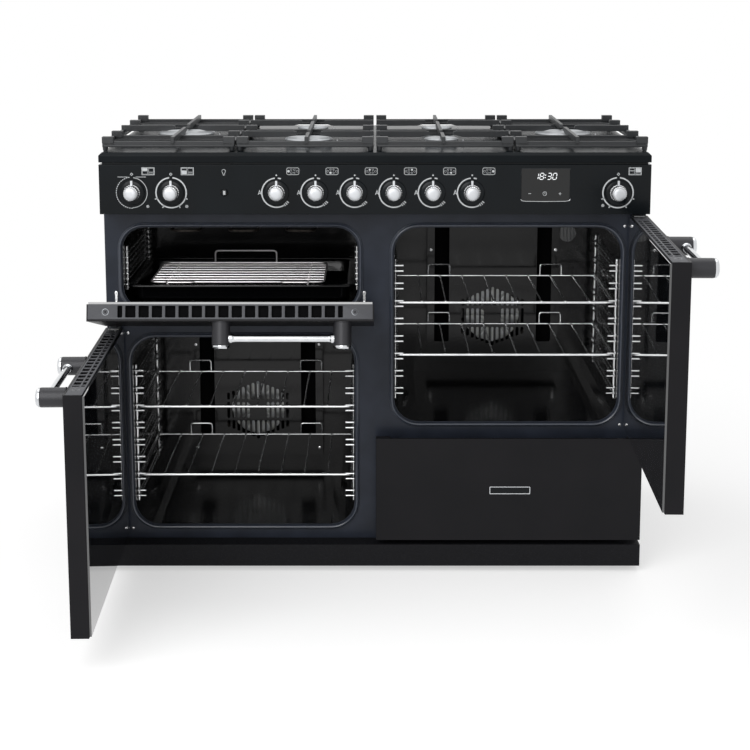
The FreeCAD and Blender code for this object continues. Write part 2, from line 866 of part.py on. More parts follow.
def doorHinges():
    """Pins on brackets above and below each oven door, and the grill door's two arms."""
    pieces = []
    for name in ("left", "right"):
        low, top = doorZ[name]
        across = pivotX[name]
        x = (f"{across} - bracketHalf", f"{across} + bracketHalf")
        y = ("-pivotDepth - bracketEnd", "0")
        under = f"{low} - bracketGap"
        over = f"{top} + bracketGap"
        lower = box(x, y, (f"{under} - bracketThick", under))
        upper = box(x, y, (over, f"{over} + bracketThick"))
        centre = (across, "-pivotDepth")
        pieces.append(fuse(lower, prism("z", 10, "pinRadius", (under, f"{low} + pinLength"), centre)))
        pieces.append(fuse(upper, prism("z", 10, "pinRadius", (f"{top} - pinLength", over), centre)))
    for index, across in enumerate(armX()):
        x = (f"{across} - armThick / 2", f"{across} + armThick / 2")
        z = ("grillPivotHeight - armHalf", "grillPivotHeight + armHalf")
        arm = box(x, ("-grillPivotDepth", "0"), z)
        nose = rod("x", "armHalf", x, ("-grillPivotDepth", "grillPivotHeight"))
        reach = "notchHalf + doorSkin + grillPinEnd"
        span = (f"{across} - ({reach})", across) if index else (across, f"{across} + {reach}")
        pin = prism("x", 12, "grillPin", span, ("-grillPivotDepth", "grillPivotHeight"))
        pieces.append(fuse(arm, nose, pin))
    keep("door_hinges", apart(*pieces))


# ---- storage drawer -----------------------------------------------------------


def drawer():
    x = doorX["right"]
    rear = "-doorFront + drawerFrontThick"
    front = box(x, ("-doorFront", rear), ("drawerLow", "drawerTop"))
    gripZ = ("drawerTop - gripDrop", "drawerTop + overcut")
    grip = box(inner(x, "trayInset"), (f"{rear} - gripDepth", f"{rear} + overcut"), gripZ)
    keep("drawer_front", cut(front, grip))
    trayX = inner(x, "trayInset")
    outer = box(trayX, (rear, "trayRear"), ("trayLow", "trayTop"))
    within = (f"{rear} + trayWall", "trayRear - trayWall")
    hollow = box(inner(trayX, "trayWall"), within, ("trayLow + trayWall", "trayTop + overcut"))
    keep("drawer_tray", cut(outer, hollow))


def drawerRunners():
    x = inner(doorX["right"], "trayInset")
    y = ("frameThick", "trayRear + runnerReach")
    z = ("runnerLow", "runnerLow + runnerHeight")
    left = box((f"{x[0]} - runnerGap - runnerThick", f"{x[0]} - runnerGap"), y, z)
    right = box((f"{x[1]} + runnerGap", f"{x[1]} + runnerGap + runnerThick"), y, z)
    keep("drawer_runners", apart(left, right))


# ---- grill pan and rack -------------------------------------------------------


def grillPan():
    x = inner((f"-{grillOuter}", "-grillInner"), "panSideGap")
    y = ("-panFront", "-panFront + panDepth")
    rim = roundedBlock(x, y, ("panRim - panRimThick", "panRim"), "panCorner", "z")
    wallX, wallY = inner(x, "panRimWide"), inner(y, "panRimWide")
    tub = roundedBlock(wallX, wallY, ("panRim - panDeep", "panRim - panRimThick"), "panCorner", "z")
    inside = ("panRim - panDeep + panWall", "panRim + overcut")
    hollow = roundedBlock(inner(wallX, "panWall"), inner(wallY, "panWall"), inside, "panCorner", "z")
    keep("grill_pan", cut(fuse(rim, tub), hollow))


def grillRack():
    middle = f"{grillMiddle} - rackOff"
    x = (f"{middle} - rackHalf", f"{middle} + rackHalf")
    y = ("rackFront", "rackFront + rackDepth")
    z = "panRim + rackLift"
    pieces = [wire("y", "rackWire", y, (x[0], z)), wire("y", "rackWire", y, (x[1], z))]
    for index in range(sizes["rackBars"]):
        barY = f"rackFront + rackDepth * {index} / (rackBars - 1)"
        pieces.append(wire("x", "rackWire", x, (barY, z)))
    floor = "panRim - panDeep + panWall + rackGap"
    for legX in inner(x, "rackLegInset"):
        for legY in inner(y, "rackDepth / (rackBars - 1)"):
            pieces.append(wire("z", "rackWire", (floor, z), (legX, legY)))
    bow = (f"{middle} - rackBow", f"{middle} + rackBow")
    for legX in bow:
        pieces.append(wire("z", "rackWire", (z, f"{z} + rackBowTall"), (legX, y[1])))
    pieces.append(wire("x", "rackWire", grown(bow, "rackWire"), (y[1], f"{z} + rackBowTall")))
    keep("grill_rack", fuse(*pieces))


# ---- control panel -------------------------------------------------------------

hobKnobs = [f"firstHobKnob + {index} * knobPitch" for index in range(6)]
endKnob = f"({halfWidth} - endKnobInset)"
knobs = {
    "knob_grill": f"-{endKnob}",
    "knob_oven_left": f"-{endKnob} + knobPitch",
    "knob_oven_right": endKnob,
}
knobs.update({f"knob_hob_{index + 1}": across for index, across in enumerate(hobKnobs)})


def controlPanel():
    x = (f"-{halfWidth}", halfWidth)
    z = ("frameTop", panelTop)
    outer = box(x, ("-panelFront", "frameThick"), z)
    behind = ("-panelFront + sheetWall", "frameThick + overcut")
    hollow = box(inner(x, "sheetWall"), behind, inner(z, "sheetWall"))
    through = grown(("-panelFront", "-panelFront + sheetWall"), "overcut")
    holes = [prism("y", 6, "spindleHole", through, (across, knobHeight)) for across in knobs.values()]
    holes.append(prism("y", 12, "buttonRadius + boreGap", through, (buttonAcross, knobHeight)))
    holes.append(box((displayLow, displayHigh), through, (displayFloor, displayTop)))
    riserY = ("-panelFront + shadowInset", "-panelFront + shadowInset + sheetWall")
    riser = box(inner(x, "shadowInset"), riserY, (panelTop, deckLow))
    keep("control_panel", fuse(cut(outer, hollow, *holes), riser))


def displayWindow():
    behind = ("-panelFront + sheetWall", "-panelFront + sheetWall + displayFlange")
    x, z = (displayLow, displayHigh), (displayFloor, displayTop)
    pane = box(x, ("-panelFront + displaySunk", behind[1]), z)
    flange = box(grown(x, "displayFlange"), behind, grown(z, "displayFlange"))
    keep("display_window", fuse(pane, flange))


def tapsAndSwitches():
    pieces = []
    for across in list(knobs.values()) + [buttonAcross]:
        x = (f"{across} - tapHalf", f"{across} + tapHalf")
        front = "-buttonStop" if across == buttonAcross else "-tapFace"
        body = box(x, (front, "tapRear"), (tapLow, tapTop))
        tongue = box(x, ("-panelFront + sheetWall", front), (f"{tapTop} - tapTongue", tapTop))
        pieces.append(fuse(body, tongue))
    keep("taps_and_switches", apart(*pieces))


def gasRail():
    """The pipe across the cooker that the taps sit on, and the feed that runs back to the inlet."""
    z = f"{tapLow} - railRadius"
    rail = prism("x", 8, "railRadius", ("-railHalf", "railHalf + railRadius"), ("railDepth", z))
    feed = prism("y", 12, "feedRadius", ("railDepth + railRadius + boreGap", "bodyRear"), ("railHalf", z))
    bore = rod("y", "inletRadius", ("bodyRear - inletDeep", "bodyRear + overcut"), ("railHalf", z))
    keep("gas_rail", apart(rail, cut(feed, bore)))


def knob(label, across):
    """Skirt, barrel, pointer ridge and a half-round shaft that the tap's spindle takes."""
    centre = (across, knobHeight)
    rear = "-panelFront - skirtGap"
    face = f"{rear} - skirtLength"
    skirt = prism("y", 16, "skirtRadius", (face, rear), centre)
    barrel = prism("y", 10, "barrelRadius", (f"{face} - barrelLength", face), centre)
    pointer = box(
        (f"{across} - pointerHalf", f"{across} + pointerHalf"),
        (f"{face} - pointerProud", face),
        (knobHeight, f"{knobHeight} + skirtRadius"),
    )
    spindle = rod("y", "spindleRadius", (rear, "-spindleEnd"), centre, angle=180)
    keep(label, fuse(skirt, barrel, pointer, spindle))


def lightButton():
    y = ("-panelFront - buttonProud", "-buttonRear")
    keep("light_button", prism("y", 12, "buttonRadius", y, (buttonAcross, knobHeight)))


# ---- hob -----------------------------------------------------------------------

# Each burner: its place on the deck and the radius of its cap.
burners = [
    (f"-{wokAcross}", "wokDepth", "wokCap"),
    ("-burnerAcross", "burnerFrontDepth", "largeCap"),
    ("-burnerAcross", "burnerRearDepth", "smallCap"),
    ("burnerAcross", "burnerFrontDepth", "smallCap"),
    ("burnerAcross", "burnerRearDepth", "smallCap"),
    (wokAcross, "wokDepth", "wokCap"),
]


def hobDeck():
    x = (f"-{halfWidth}", halfWidth)
    y = ("-panelFront", "bodyRear")
    ledge = f"{deckTop} - deckBevel"
    lower = box(x, y, (deckLow, ledge))
    upper = doc.addObject("Part::Wedge", "BevelledTop")
    deep = "panelFront + bodyRear"
    ends = {"Xmin": "0", "Ymin": "0", "Zmin": "0", "X2min": "deckBevel", "Z2min": "deckBevel"}
    ends.update({"Xmax": "bodyWidth", "Ymax": "deckBevel", "Zmax": deep})
    ends.update({"X2max": "bodyWidth - deckBevel", "Z2max": f"{deep} - deckBevel"})
    for end, text in ends.items():
        upper.setExpression(end, bound(text))
    upper.Placement = FreeCAD.Placement(FreeCAD.Vector(), FreeCAD.Rotation(FreeCAD.Vector(1, 0, 0), 90))
    place(upper, (x[0], y[1], ledge))
    hollow = box(inner(x, "deckWall"), inner(y, "deckWall"), (f"{deckLow} - overcut", ledge))
    through = (deckLow, f"{deckTop} + overcut")
    holes = [prism("z", 8, "cupRadius + cupClear", through, (cx, cy)) for cx, cy, cap in burners]
    keep("hob_deck", cut(fuse(lower, upper), hollow, *holes))


def burnerSets():
    bodies, caps = [], []
    for cx, cy, cap in burners:
        centre = (cx, cy)
        flangeTop = f"{deckTop} + flangeHeight"
        headTop = f"{flangeTop} + headHeight"
        cup = prism("z", 8, "cupRadius", (f"{deckTop} - cupDrop", deckTop), centre)
        flange = prism("z", 16, f"{cap} + flangeProud", (deckTop, flangeTop), centre)
        head = prism("z", 16, f"{cap} - headInset", (flangeTop, headTop), centre)
        bodies.append(fuse(cup, flange, head))
        caps.append(prism("z", 16, cap, (headTop, f"{headTop} + capHeight"), centre))
        sparkX = f"{cx} + {cap} + flangeProud + 2 * electrodeRadius"
        sparkZ = (deckTop, f"{deckTop} + electrodeHeight")
        bodies.append(wire("z", "electrodeRadius", sparkZ, (sparkX, cy)))
    keep("burner_bodies", apart(*bodies))
    keep("burner_caps", apart(*caps))


def gridRails(x, y, rows):
    """The low bars of a pan support, its feet, and a raised block at each end of a crossing bar."""
    z = (f"{gridTop} - railDrop - gridTall", f"{gridTop} - railDrop")
    raised = (f"{gridTop} - armDrop", gridTop)
    bars = [box((x[0], f"{x[0]} + gridBar"), y, z), box((f"{x[1]} - gridBar", x[1]), y, z)]
    for footX in ((x[0], f"{x[0]} + gridFoot"), (f"{x[1]} - gridFoot", x[1])):
        for footY in ((y[0], f"{y[0]} + gridFoot"), (f"{y[1]} - gridFoot", y[1])):
            bars.append(box(footX, footY, (f"{deckTop} + gridSeat", z[1])))
    for row in rows:
        bars.append(box(x, (f"{row} - gridBar / 2", f"{row} + gridBar / 2"), z))
        deep = (f"{row} - blockDeep / 2", f"{row} + blockDeep / 2")
        bars.append(box((x[0], f"{x[0]} + blockWide"), deep, raised))
        bars.append(box((f"{x[1]} - blockWide", x[1]), deep, raised))
    return bars


def arms(x, y, centre):
    """Bars that run from the rails towards a burner and stop short of its middle."""
    cx, cy = centre
    z = (f"{gridTop} - armDrop", gridTop)
    across = (f"{cy} - gridBar / 2", f"{cy} + gridBar / 2")
    along = (f"{cx} - gridBar / 2", f"{cx} + gridBar / 2")
    return [
        box((x[0], f"{cx} - burnerEye"), across, z),
        box((f"{cx} + burnerEye", x[1]), across, z),
        box(along, (y[0], f"{cy} - burnerEye"), z),
        box(along, (f"{cy} + burnerEye", y[1]), z),
    ]


def panSupports():
    y = ("gridFront", "gridRear")
    first, last = "(gridFront + blockDeep / 2)", "(gridRear - blockDeep / 2)"
    for name, side in (("left", -1), ("right", 1)):
        x = handed(side, "outerGridLow", f"{halfWidth} - gridInset")
        bars = gridRails(x, y, [first, "burnerFrontDepth", "burnerRearDepth", last])
        bars += arms(x, y, (f"{side} * {wokAcross}", "wokDepth"))
        keep(f"pan_support_outer_{name}", fuse(*bars))
        x = handed(side, "centreGridLow", "centreGridHigh")
        bars = gridRails(x, y, [first, "wokDepth", last])
        bars += arms(x, (y[0], "wokDepth"), (f"{side} * burnerAcross", "burnerFrontDepth"))
        bars += arms(x, ("wokDepth", y[1]), (f"{side} * burnerAcross", "burnerRearDepth"))
        keep(f"pan_support_centre_{name}", fuse(*bars))


sidePanels()
backPanel()
frontFrame()
plinth()
levelingFeet()
ovenLiners()
doorSeals()
fanCovers()
fans()
fanMotors()
heatingElements()
lamps()
ladders()
shelves()
doors()
doorHinges()
drawer()
drawerRunners()
grillPan()
grillRack()
controlPanel()
displayWindow()
tapsAndSwitches()
gasRail()
for label, across in knobs.items():
    knob(label, across)
lightButton()
hobDeck()
burnerSets()
panSupports()

doc.recompute()
for thing in doc.Objects:
    if "Invalid" in thing.State or "Error" in thing.State:
        raise RuntimeError(f"{thing.Label} failed: {thing.State}")
os.makedirs("parts", exist_ok=True)
for piece in subparts:
    if piece.Shape.isNull() or not piece.Shape.isValid():
        raise RuntimeError(f"{piece.Label} has no valid shape")
    piece.Shape.exportStep(f"parts/{piece.Label}.step")
print(len(subparts), "sub-parts written")
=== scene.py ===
import math

import bmesh
import bpy
from mathutils import Matrix, Vector


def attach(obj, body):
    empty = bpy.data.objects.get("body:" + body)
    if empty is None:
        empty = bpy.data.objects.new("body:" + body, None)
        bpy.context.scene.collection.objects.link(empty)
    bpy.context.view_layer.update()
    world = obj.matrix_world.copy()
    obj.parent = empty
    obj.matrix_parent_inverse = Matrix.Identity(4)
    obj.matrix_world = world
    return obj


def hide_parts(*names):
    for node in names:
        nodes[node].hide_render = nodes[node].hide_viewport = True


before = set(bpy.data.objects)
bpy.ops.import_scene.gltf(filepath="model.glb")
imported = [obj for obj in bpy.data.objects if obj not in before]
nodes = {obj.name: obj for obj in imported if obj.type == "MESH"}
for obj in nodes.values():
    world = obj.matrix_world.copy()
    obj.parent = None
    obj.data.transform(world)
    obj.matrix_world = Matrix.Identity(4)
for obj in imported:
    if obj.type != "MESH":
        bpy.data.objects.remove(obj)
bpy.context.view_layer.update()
mm = 0.001
print("frame loaded:", len(nodes), "nodes")

# small helpers


def linear(hexColour):
    # sRGB hex to the linear colour that the shader wants
    parts = [int(hexColour[i:i + 2], 16) / 255 for i in (1, 3, 5)]
    return [c / 12.92 if c <= 0.04045 else ((c + 0.055) / 1.055) ** 2.4 for c in parts] + [1.0]


def addNode(tree, kind, settings=None, **links):
    # settings are node properties, socket values or a ramp's (position, hex) stops
    # links go to sockets by name, spaces written as _, or by number as n0, n1
    node = tree.nodes.new(kind)
    for key, value in (settings or {}).items():
        if key == "stops":
            line = node.color_ramp.elements
            for stop, (position, hexColour) in zip((line[0], line[-1]), (value[0], value[-1])):
                stop.position, stop.color = position, linear(hexColour)
            for position, hexColour in value[1:-1]:
                line.new(position).color = linear(hexColour)
        elif key in node.inputs:
            node.inputs[key].default_value = value
        else:
            setattr(node, key, value)
    for key, source in links.items():
        socket = int(key[1:]) if key[0] == "n" and key[1:].isdigit() else key.replace("_", " ")
        tree.links.new(source, node.inputs[socket])
    return node


# real sizes that the patterns are drawn at: the width of one blotch, cell or band
finish = {
    "enamelOrangePeel": 6 * mm,    # ripple of fired enamel
    "enamelFleck": 5 * mm,         # flecks are under 1 mm; the cells they sit in are wider apart
    "powderGrain": 1.2 * mm,       # powder coat grain is about 0.3 mm; drawn coarser so that it shows
    "plinthSpeck": 3 * mm,         # specks of about 0.5 mm in cells this wide
    "castGrain": 1.6 * mm,         # sand-cast iron is about 0.8 mm; drawn coarser so that it shows
    "spangle": 9 * mm,             # zinc flowers on galvanised sheet
    "handPrint": 90 * mm,          # slow change of gloss over a wiped panel
    "toolMark": 2 * mm,            # turning marks are about 0.2 mm; drawn coarser so that they show
    "lensRib": 4 * mm,             # ribs pressed into the lamp lens
    "shadeSheetBlotch": 2 * mm,           # blotches on the matt black sheet that paints shade behind slots
}
waveBand = 6.3                     # a wave texture's band is 1/6.3 m wide at scale 1


def dressed(name, shader, colour, stops, gloss=None, rough=None, relief=None, depth=0.0, shows="Base Color"):
    # shader holds what is the same all over; colour, gloss and relief (depth in metres) are each led by
    # a pattern: the blotch width of plain noise, or (texture node, output, settings)
    # two bare colours stand at 0.3 and 0.7 of their pattern
    material = bpy.data.materials.new(name)
    material.use_nodes = True
    tree = material.node_tree
    tree.nodes.clear()
    surface = addNode(tree, "ShaderNodeBsdfPrincipled", shader)
    addNode(tree, "ShaderNodeOutputMaterial", None, Surface=surface.outputs["BSDF"])
    place = addNode(tree, "ShaderNodeTexCoord").outputs["Object"]

    def lead(pattern):
        if not isinstance(pattern, tuple):
            pattern = ("ShaderNodeTexNoise", "Fac", {"Scale": 1 / pattern})
        kind, output, settings = pattern
        texture = addNode(tree, kind, settings, Vector=place).outputs[output]
        if output == "Color":
            texture = addNode(tree, "ShaderNodeRGBToBW", None, Color=texture).outputs["Val"]
        return texture
    if isinstance(stops[0], str):
        stops = [(0.3, stops[0]), (0.7, stops[1])]
    tint = addNode(tree, "ShaderNodeValToRGB", {"stops": stops}, Fac=lead(colour))
    tree.links.new(tint.outputs["Color"], surface.inputs[shows])
    if gloss:
        low, high = rough
        spread = addNode(tree, "ShaderNodeMapRange", {"To Min": low, "To Max": high}, Value=lead(gloss))
        tree.links.new(spread.outputs["Result"], surface.inputs["Roughness"])
    if relief:
        bump = addNode(tree, "ShaderNodeBump", {"Strength": 1.0, "Distance": depth}, Height=lead(relief))
        tree.links.new(bump.outputs["Normal"], surface.inputs["Normal"])
    return material


fleck = ("ShaderNodeTexVoronoi", "Distance", {"Scale": 1 / finish["enamelFleck"]})
speck = ("ShaderNodeTexVoronoi", "Distance", {"Scale": 1 / finish["plinthSpeck"]})
spangle = ("ShaderNodeTexVoronoi", "Color", {"Scale": 1 / finish["spangle"]})
castGrain = ("ShaderNodeTexNoise", "Fac", {"Scale": 1 / finish["castGrain"], "Detail": 4.0, "Roughness": 0.6})
shadeSheetMottle = ("ShaderNodeTexNoise", "Fac", {"Scale": 1 / finish["shadeSheetBlotch"], "Detail": 3.0, "Roughness": 0.6})
toolMark = ("ShaderNodeTexWave", "Fac", {"Scale": 1 / finish["toolMark"] / waveBand, "Distortion": 1.0})
lensRib = ("ShaderNodeTexWave", "Fac", {"Scale": 1 / finish["lensRib"] / waveBand})


def stoveEnamel(name, shine, rough):
    # control panel and hob: near-black with a cold green cast, glassy
    return dressed(name, {"IOR": 1.54, "Specular IOR Level": shine}, 150 * mm, ("#090d10", "#0d1317"),
                   finish["handPrint"], rough, finish["enamelOrangePeel"], 0.02 * mm)


def plate(name, low, high, rough):
    # chrome or nickel on steel: a mirror with slight haze
    return dressed(name, {"Metallic": 1.0}, 25 * mm, (low, high), 25 * mm, rough)


mats = {
    # black fired glass on steel: deep gloss with a faint ripple, and pinhead lighter flecks
    "enamel": dressed("vitreousEnamel", {"IOR": 1.54, "Specular IOR Level": 0.26},
                      fleck,
                      [(0.0, "#24262a"), (0.09, "#0a0a0c"), (1.0, "#060708")],
                      finish["handPrint"], (0.09, 0.22), finish["enamelOrangePeel"], 0.06 * mm),
    # dark blue-grey enamelled front frame: semi-gloss
    "frame": dressed("slateEnamel", {"IOR": 1.54, "Specular IOR Level": 0.2}, 60 * mm, ("#22262f", "#2c313c"),
                     finish["handPrint"], (0.26, 0.36), finish["enamelOrangePeel"], 0.04 * mm),
    # black epoxy powder coat on doors and drawer: satin, with a fine even grain
    "satin": dressed("satinPowderCoat", {"IOR": 1.5, "Specular IOR Level": 0.16}, 120 * mm,
                     ("#111114", "#171619"),
                     finish["powderGrain"], (0.34, 0.46), finish["powderGrain"], 0.03 * mm),
    "panel": stoveEnamel("glossPanelEnamel", 0.16, (0.12, 0.2)),
    # the hob's enamel is scoured, so duller
    "hob": stoveEnamel("scouredHobEnamel", 0.1, (0.22, 0.3)),
    # textured powder coat of the plinth: dull black with grey specks
    "plinth": dressed("speckledPowderCoat", {"IOR": 1.5, "Specular IOR Level": 0.16},
                      speck,
                      [(0.0, "#35353a"), (0.22, "#131316"), (1.0, "#0f0f12")],
                      speck, (0.5, 0.7),
                      finish["powderGrain"], 0.12 * mm),
    # zinc-coated sheet: metal with pale flowers
    "galvanised": dressed("galvanisedSheet", {"Metallic": 1.0},
                          spangle,
                          [(0.2, "#9c9fa2"), (0.8, "#adb0b2")],
                          spangle, (0.38, 0.46)),
    "chrome": plate("chromePlate", "#c9cbce", "#dcdee0", (0.06, 0.14)),
    "darkChrome": plate("blackChrome", "#56585b", "#66686b", (0.12, 0.22)),
    "wire": plate("drawnChromedWire", "#dfe0e2", "#f0f1f2", (0.2, 0.3)),
    "rackSteel": plate("nickelPlatedWire", "#cfcacc", "#e2dedf", (0.34, 0.46)),
    # bead-blasted, plated knob caps: even pale grey, soft sheen
    "silver": dressed("satinSilver", {"Metallic": 0.85}, 0.6 * mm, ("#c3c5c8", "#d2d4d7"),
                      0.6 * mm, (0.38, 0.5), 0.6 * mm, 0.02 * mm),
    # matt enamel on sand-cast iron: dark grey with the casting's grain through it
    "iron": dressed("enamelledCastIron", {"IOR": 1.5}, castGrain, ("#191b1e", "#25282b"),
                    castGrain, (0.34, 0.5), castGrain, 0.16 * mm),
    # burner heads and caps: pale grey, dull, with a little heat stain
    "aluminium": dressed("dieCastAluminium", {"Metallic": 0.7}, 18 * mm, ("#9a9da0", "#b4b7ba"),
                         1.5 * mm, (0.4, 0.55), 1.5 * mm, 0.03 * mm),
    # moulded silicone gasket: dark grey-blue with the wet shine of a moulding
    "seal": dressed("siliconeSeal", {"IOR": 1.43, "Coat Weight": 0.6, "Coat Roughness": 0.16},
                    4 * mm, ("#30353f", "#3b414d"), 4 * mm, (0.3, 0.4)),
    # glass-filled nylon vent trim: mid grey, matt, fine spark-eroded grain
    "trim": dressed("mouldedTrim", {"IOR": 1.53}, 1.0 * mm, ("#3f4044", "#4a4b50"),
                    1.0 * mm, (0.5, 0.62), 1.0 * mm, 0.03 * mm),
    # heat-reflecting inner glass: almost a black mirror, the more so at a slant
    "glass": dressed("tintedMirrorGlass", {"IOR": 1.9, "Coat Weight": 1.0, "Coat Roughness": 0.02},
                     70 * mm, ("#15171a", "#1d1f23"), 70 * mm, (0.02, 0.05)),
    # smoked acrylic window: black and glossy
    "display": dressed("displayGlass", {"IOR": 1.49}, 30 * mm, ("#050607", "#08090a"), 30 * mm, (0.05, 0.1)),
    # ceramic ink printed on the panel: flat, slightly uneven
    "ink": dressed("whiteCeramicInk", {"IOR": 1.5, "Roughness": 0.5}, 2 * mm, ("#c6c9cb", "#d6d9db")),
    # clock digits: white light through the window
    "digits": dressed("litSegment", {"Emission Strength": 0.7, "Roughness": 0.4}, 3 * mm,
                      ("#dfe6ea", "#f4f8fa"),
                      shows="Emission Color"),
    # zinc-plated brackets, fans, motors: dull silver with a faint yellow-blue shift
    "zinc": dressed("zincPlatedSteel", {"Metallic": 1.0}, 12 * mm, ("#9a9b96", "#a9abb0"), 12 * mm,
                    (0.28, 0.42)),
    # lacquered die-cast handle posts: dark graphite, satin
    "graphite": dressed("graphiteLacquer", {"IOR": 1.5, "Metallic": 0.3}, 0.8 * mm, ("#2a2a2d", "#333337"),
                        0.8 * mm, (0.36, 0.46)),
    # turned brass taps: yellow, with tool marks as bands of gloss
    "brass": dressed("machinedBrass", {"Metallic": 1.0}, toolMark, [(0.0, "#a88a4a"), (1.0, "#bfa05a")],
                     toolMark, (0.25, 0.4)),
    # sheathed heating element: oxidised nickel alloy, brown-grey
    "element": dressed("nickelAlloySheath", {"Metallic": 0.8}, 14 * mm, ("#3a3532", "#54504c"), 14 * mm,
                       (0.4, 0.6)),
    # pressed glass lamp lens: pale, ribbed, seen dark when off
    "lens": dressed("borosilicateLens", {"IOR": 1.47, "Coat Weight": 0.6, "Coat Roughness": 0.05},
                    lensRib, [(0.0, "#26292b"), (1.0, "#44484a")], lensRib, (0.1, 0.2), lensRib, 0.3 * mm),
    # pale moulded push button
    "button": dressed("mouldedButton", {"IOR": 1.53}, 1.0 * mm, ("#b6b8ba", "#cfd1d2"), 1.0 * mm, (0.28, 0.36)),
    # painted shade: a matt black sheet put behind the slots of doors and fan covers, where the hollows would lie in
    # shade; no shine, loose grain
    "shadeBlack": dressed("paintedShadeBlack", {"IOR": 1.45, "Specular IOR Level": 0.1}, shadeSheetMottle,
                          ("#060607", "#0c0c0e"),
                          shadeSheetMottle, (0.85, 0.95)),
}
print("materials made:", len(mats))

# mesh tools


def finishPiece(name, bm, material, body, stands=(), bevel=0.0, smooth=35):
    # turns a bmesh into a piece of the cooker that rides on its body
    bmesh.ops.recalc_face_normals(bm, faces=bm.faces)
    data = bpy.data.meshes.new(name)
    bm.to_mesh(data)
    bm.free()
    data.shade_smooth()
    data.set_sharp_from_angle(angle=math.radians(smooth))
    piece = bpy.data.objects.new(name, data)
    bpy.context.scene.collection.objects.link(piece)
    for one in material if isinstance(material, list) else [material]:
        data.materials.append(one)
    if bevel:
        edge = piece.modifiers.new("softEdge", "BEVEL")
        edge.width, edge.segments, edge.limit_method = bevel, 2, "ANGLE"
        edge.harden_normals = True
    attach(piece, body)
    if stands:
        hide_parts(*stands)
    return piece


def addBox(bm, low, high, index=0):
    made = bmesh.ops.create_cube(bm, size=1)["verts"]
    for v in made:
        v.co = Vector(low[i] + (v.co[i] + 0.5) * (high[i] - low[i]) for i in range(3))
    for face in {f for v in made for f in v.link_faces}:
        face.material_index = index
    return made


def addBar(bm, low, high, index=0):
    # a box in mm
    return addBox(bm, Vector(low) * mm, Vector(high) * mm, index)


def mmPath(points):
    return [Vector(p) * mm for p in points]


def addTube(bm, points, radius, sides=10, closed=False, index=0, flat=1.0):
    # sweeps a round section along a path in mm; flat squashes it across its first normal
    points, radius = mmPath(points), radius * mm
    count = len(points)
    rings, normal = [], None
    for i, here in enumerate(points):
        before = points[i - 1] if i or closed else here
        after = points[(i + 1) % count] if i < count - 1 or closed else here
        along = (after - before).normalized()
        if normal is None:
            normal = along.orthogonal().normalized()
            if abs(along.x) < 0.9:
                normal = (Vector((1, 0, 0)) - along * along.x).normalized()
        normal = (normal - along * normal.dot(along)).normalized()
        other = along.cross(normal)
        ring = []
        for k in range(sides):
            a = 2 * math.pi * k / sides
            ring.append(bm.verts.new(here + normal * (math.cos(a) * radius * flat) + other * (math.sin(a) * radius)))
        rings.append(ring)
    pairs = list(zip(rings, rings[1:])) + ([(rings[-1], rings[0])] if closed else [])
    for one, two in pairs:
        for k in range(sides):
            bm.faces.new((one[k], one[(k + 1) % sides], two[(k + 1) % sides], two[k])).material_index = index
    if not closed:
        bm.faces.new(rings[0]).material_index = index
        bm.faces.new(rings[-1]).material_index = index


def rounded(points, bend, steps=5):
    # a path whose inner corners are turned on a bend radius
    points = [Vector(p) for p in points]
    path = [points[0]]
    for before, corner, after in zip(points, points[1:], points[2:]):
        one, two = (before - corner).normalized(), (after - corner).normalized()
        half = one.angle(two) / 2
        reach = min(bend / math.tan(half), (before - corner).length * 0.49, (after - corner).length * 0.49)
        start, end = corner + one * reach, corner + two * reach
        for k in range(steps + 1):
            t = k / steps
            path.append(start.lerp(corner, t).lerp(corner.lerp(end, t), t))
    path.append(points[-1])
    return path


def addTurned(bm, centre, axis, profile, sides=32, index=0, dip=None):
    # revolves (distance along axis, radius) pairs in mm; dip(angle) scales the radius for flutes and slots
    axis = Vector(axis).normalized()
    side = axis.orthogonal().normalized()
    other = axis.cross(side)
    centre = Vector(centre)
    rings = []
    for along, radius in ((a * mm, b * mm) for a, b in profile):
        ring = []
        for k in range(sides):
            a = 2 * math.pi * k / sides
            r = radius * (dip(a) if dip else 1)
            ring.append(bm.verts.new(centre + axis * along + side * (math.cos(a) * r) + other * (math.sin(a) * r)))
        rings.append(ring)
    for one, two in zip(rings, rings[1:]):
        for k in range(sides):
            bm.faces.new((one[k], one[(k + 1) % sides], two[(k + 1) % sides], two[k])).material_index = index
    bm.faces.new(rings[0]).material_index = index
    bm.faces.new(rings[-1]).material_index = index


def roundRect(x0, x1, y0, y1, radius, steps=5):
    # outline of a rounded rectangle, anticlockwise
    points = []
    for cx, cy, start in ((x1 - radius, y1 - radius, 0), (x0 + radius, y1 - radius, 90),
                          (x0 + radius, y0 + radius, 180), (x1 - radius, y0 + radius, 270)):
        for k in range(steps + 1):
            a = math.radians(start + 90 * k / steps)
            points.append((cx + radius * math.cos(a), cy + radius * math.sin(a)))
    return points


def addPlate(bm, outlines, thick, lay, bevel=0.0):
    # a plate with windows: outlines in its plane, the first the rim; lay maps (u, v, w) to metres
    curve = bpy.data.curves.new("plate", "CURVE")
    curve.dimensions, curve.fill_mode = "2D", "BOTH"
    curve.extrude, curve.bevel_depth, curve.bevel_resolution = thick / 2 - bevel, bevel, 1
    curve.offset = -bevel
    for outline in outlines:
        spline = curve.splines.new("POLY")
        spline.points.add(len(outline) - 1)
        for point, (u, v) in zip(spline.points, outline):
            point.co = (u, v, 0, 1)
        spline.use_cyclic_u = True
    holder = bpy.data.objects.new("plate", curve)
    bpy.context.scene.collection.objects.link(holder)
    bpy.context.view_layer.update()
    data = bpy.data.meshes.new_from_object(holder.evaluated_get(bpy.context.evaluated_depsgraph_get()))
    first = len(bm.verts)
    bm.from_mesh(data)
    bm.verts.ensure_lookup_table()
    for v in bm.verts[first:]:
        v.co = Vector(lay(v.co.x, v.co.y, v.co.z))
    bpy.data.objects.remove(holder)
    bpy.data.curves.remove(curve)
    bpy.data.meshes.remove(data)


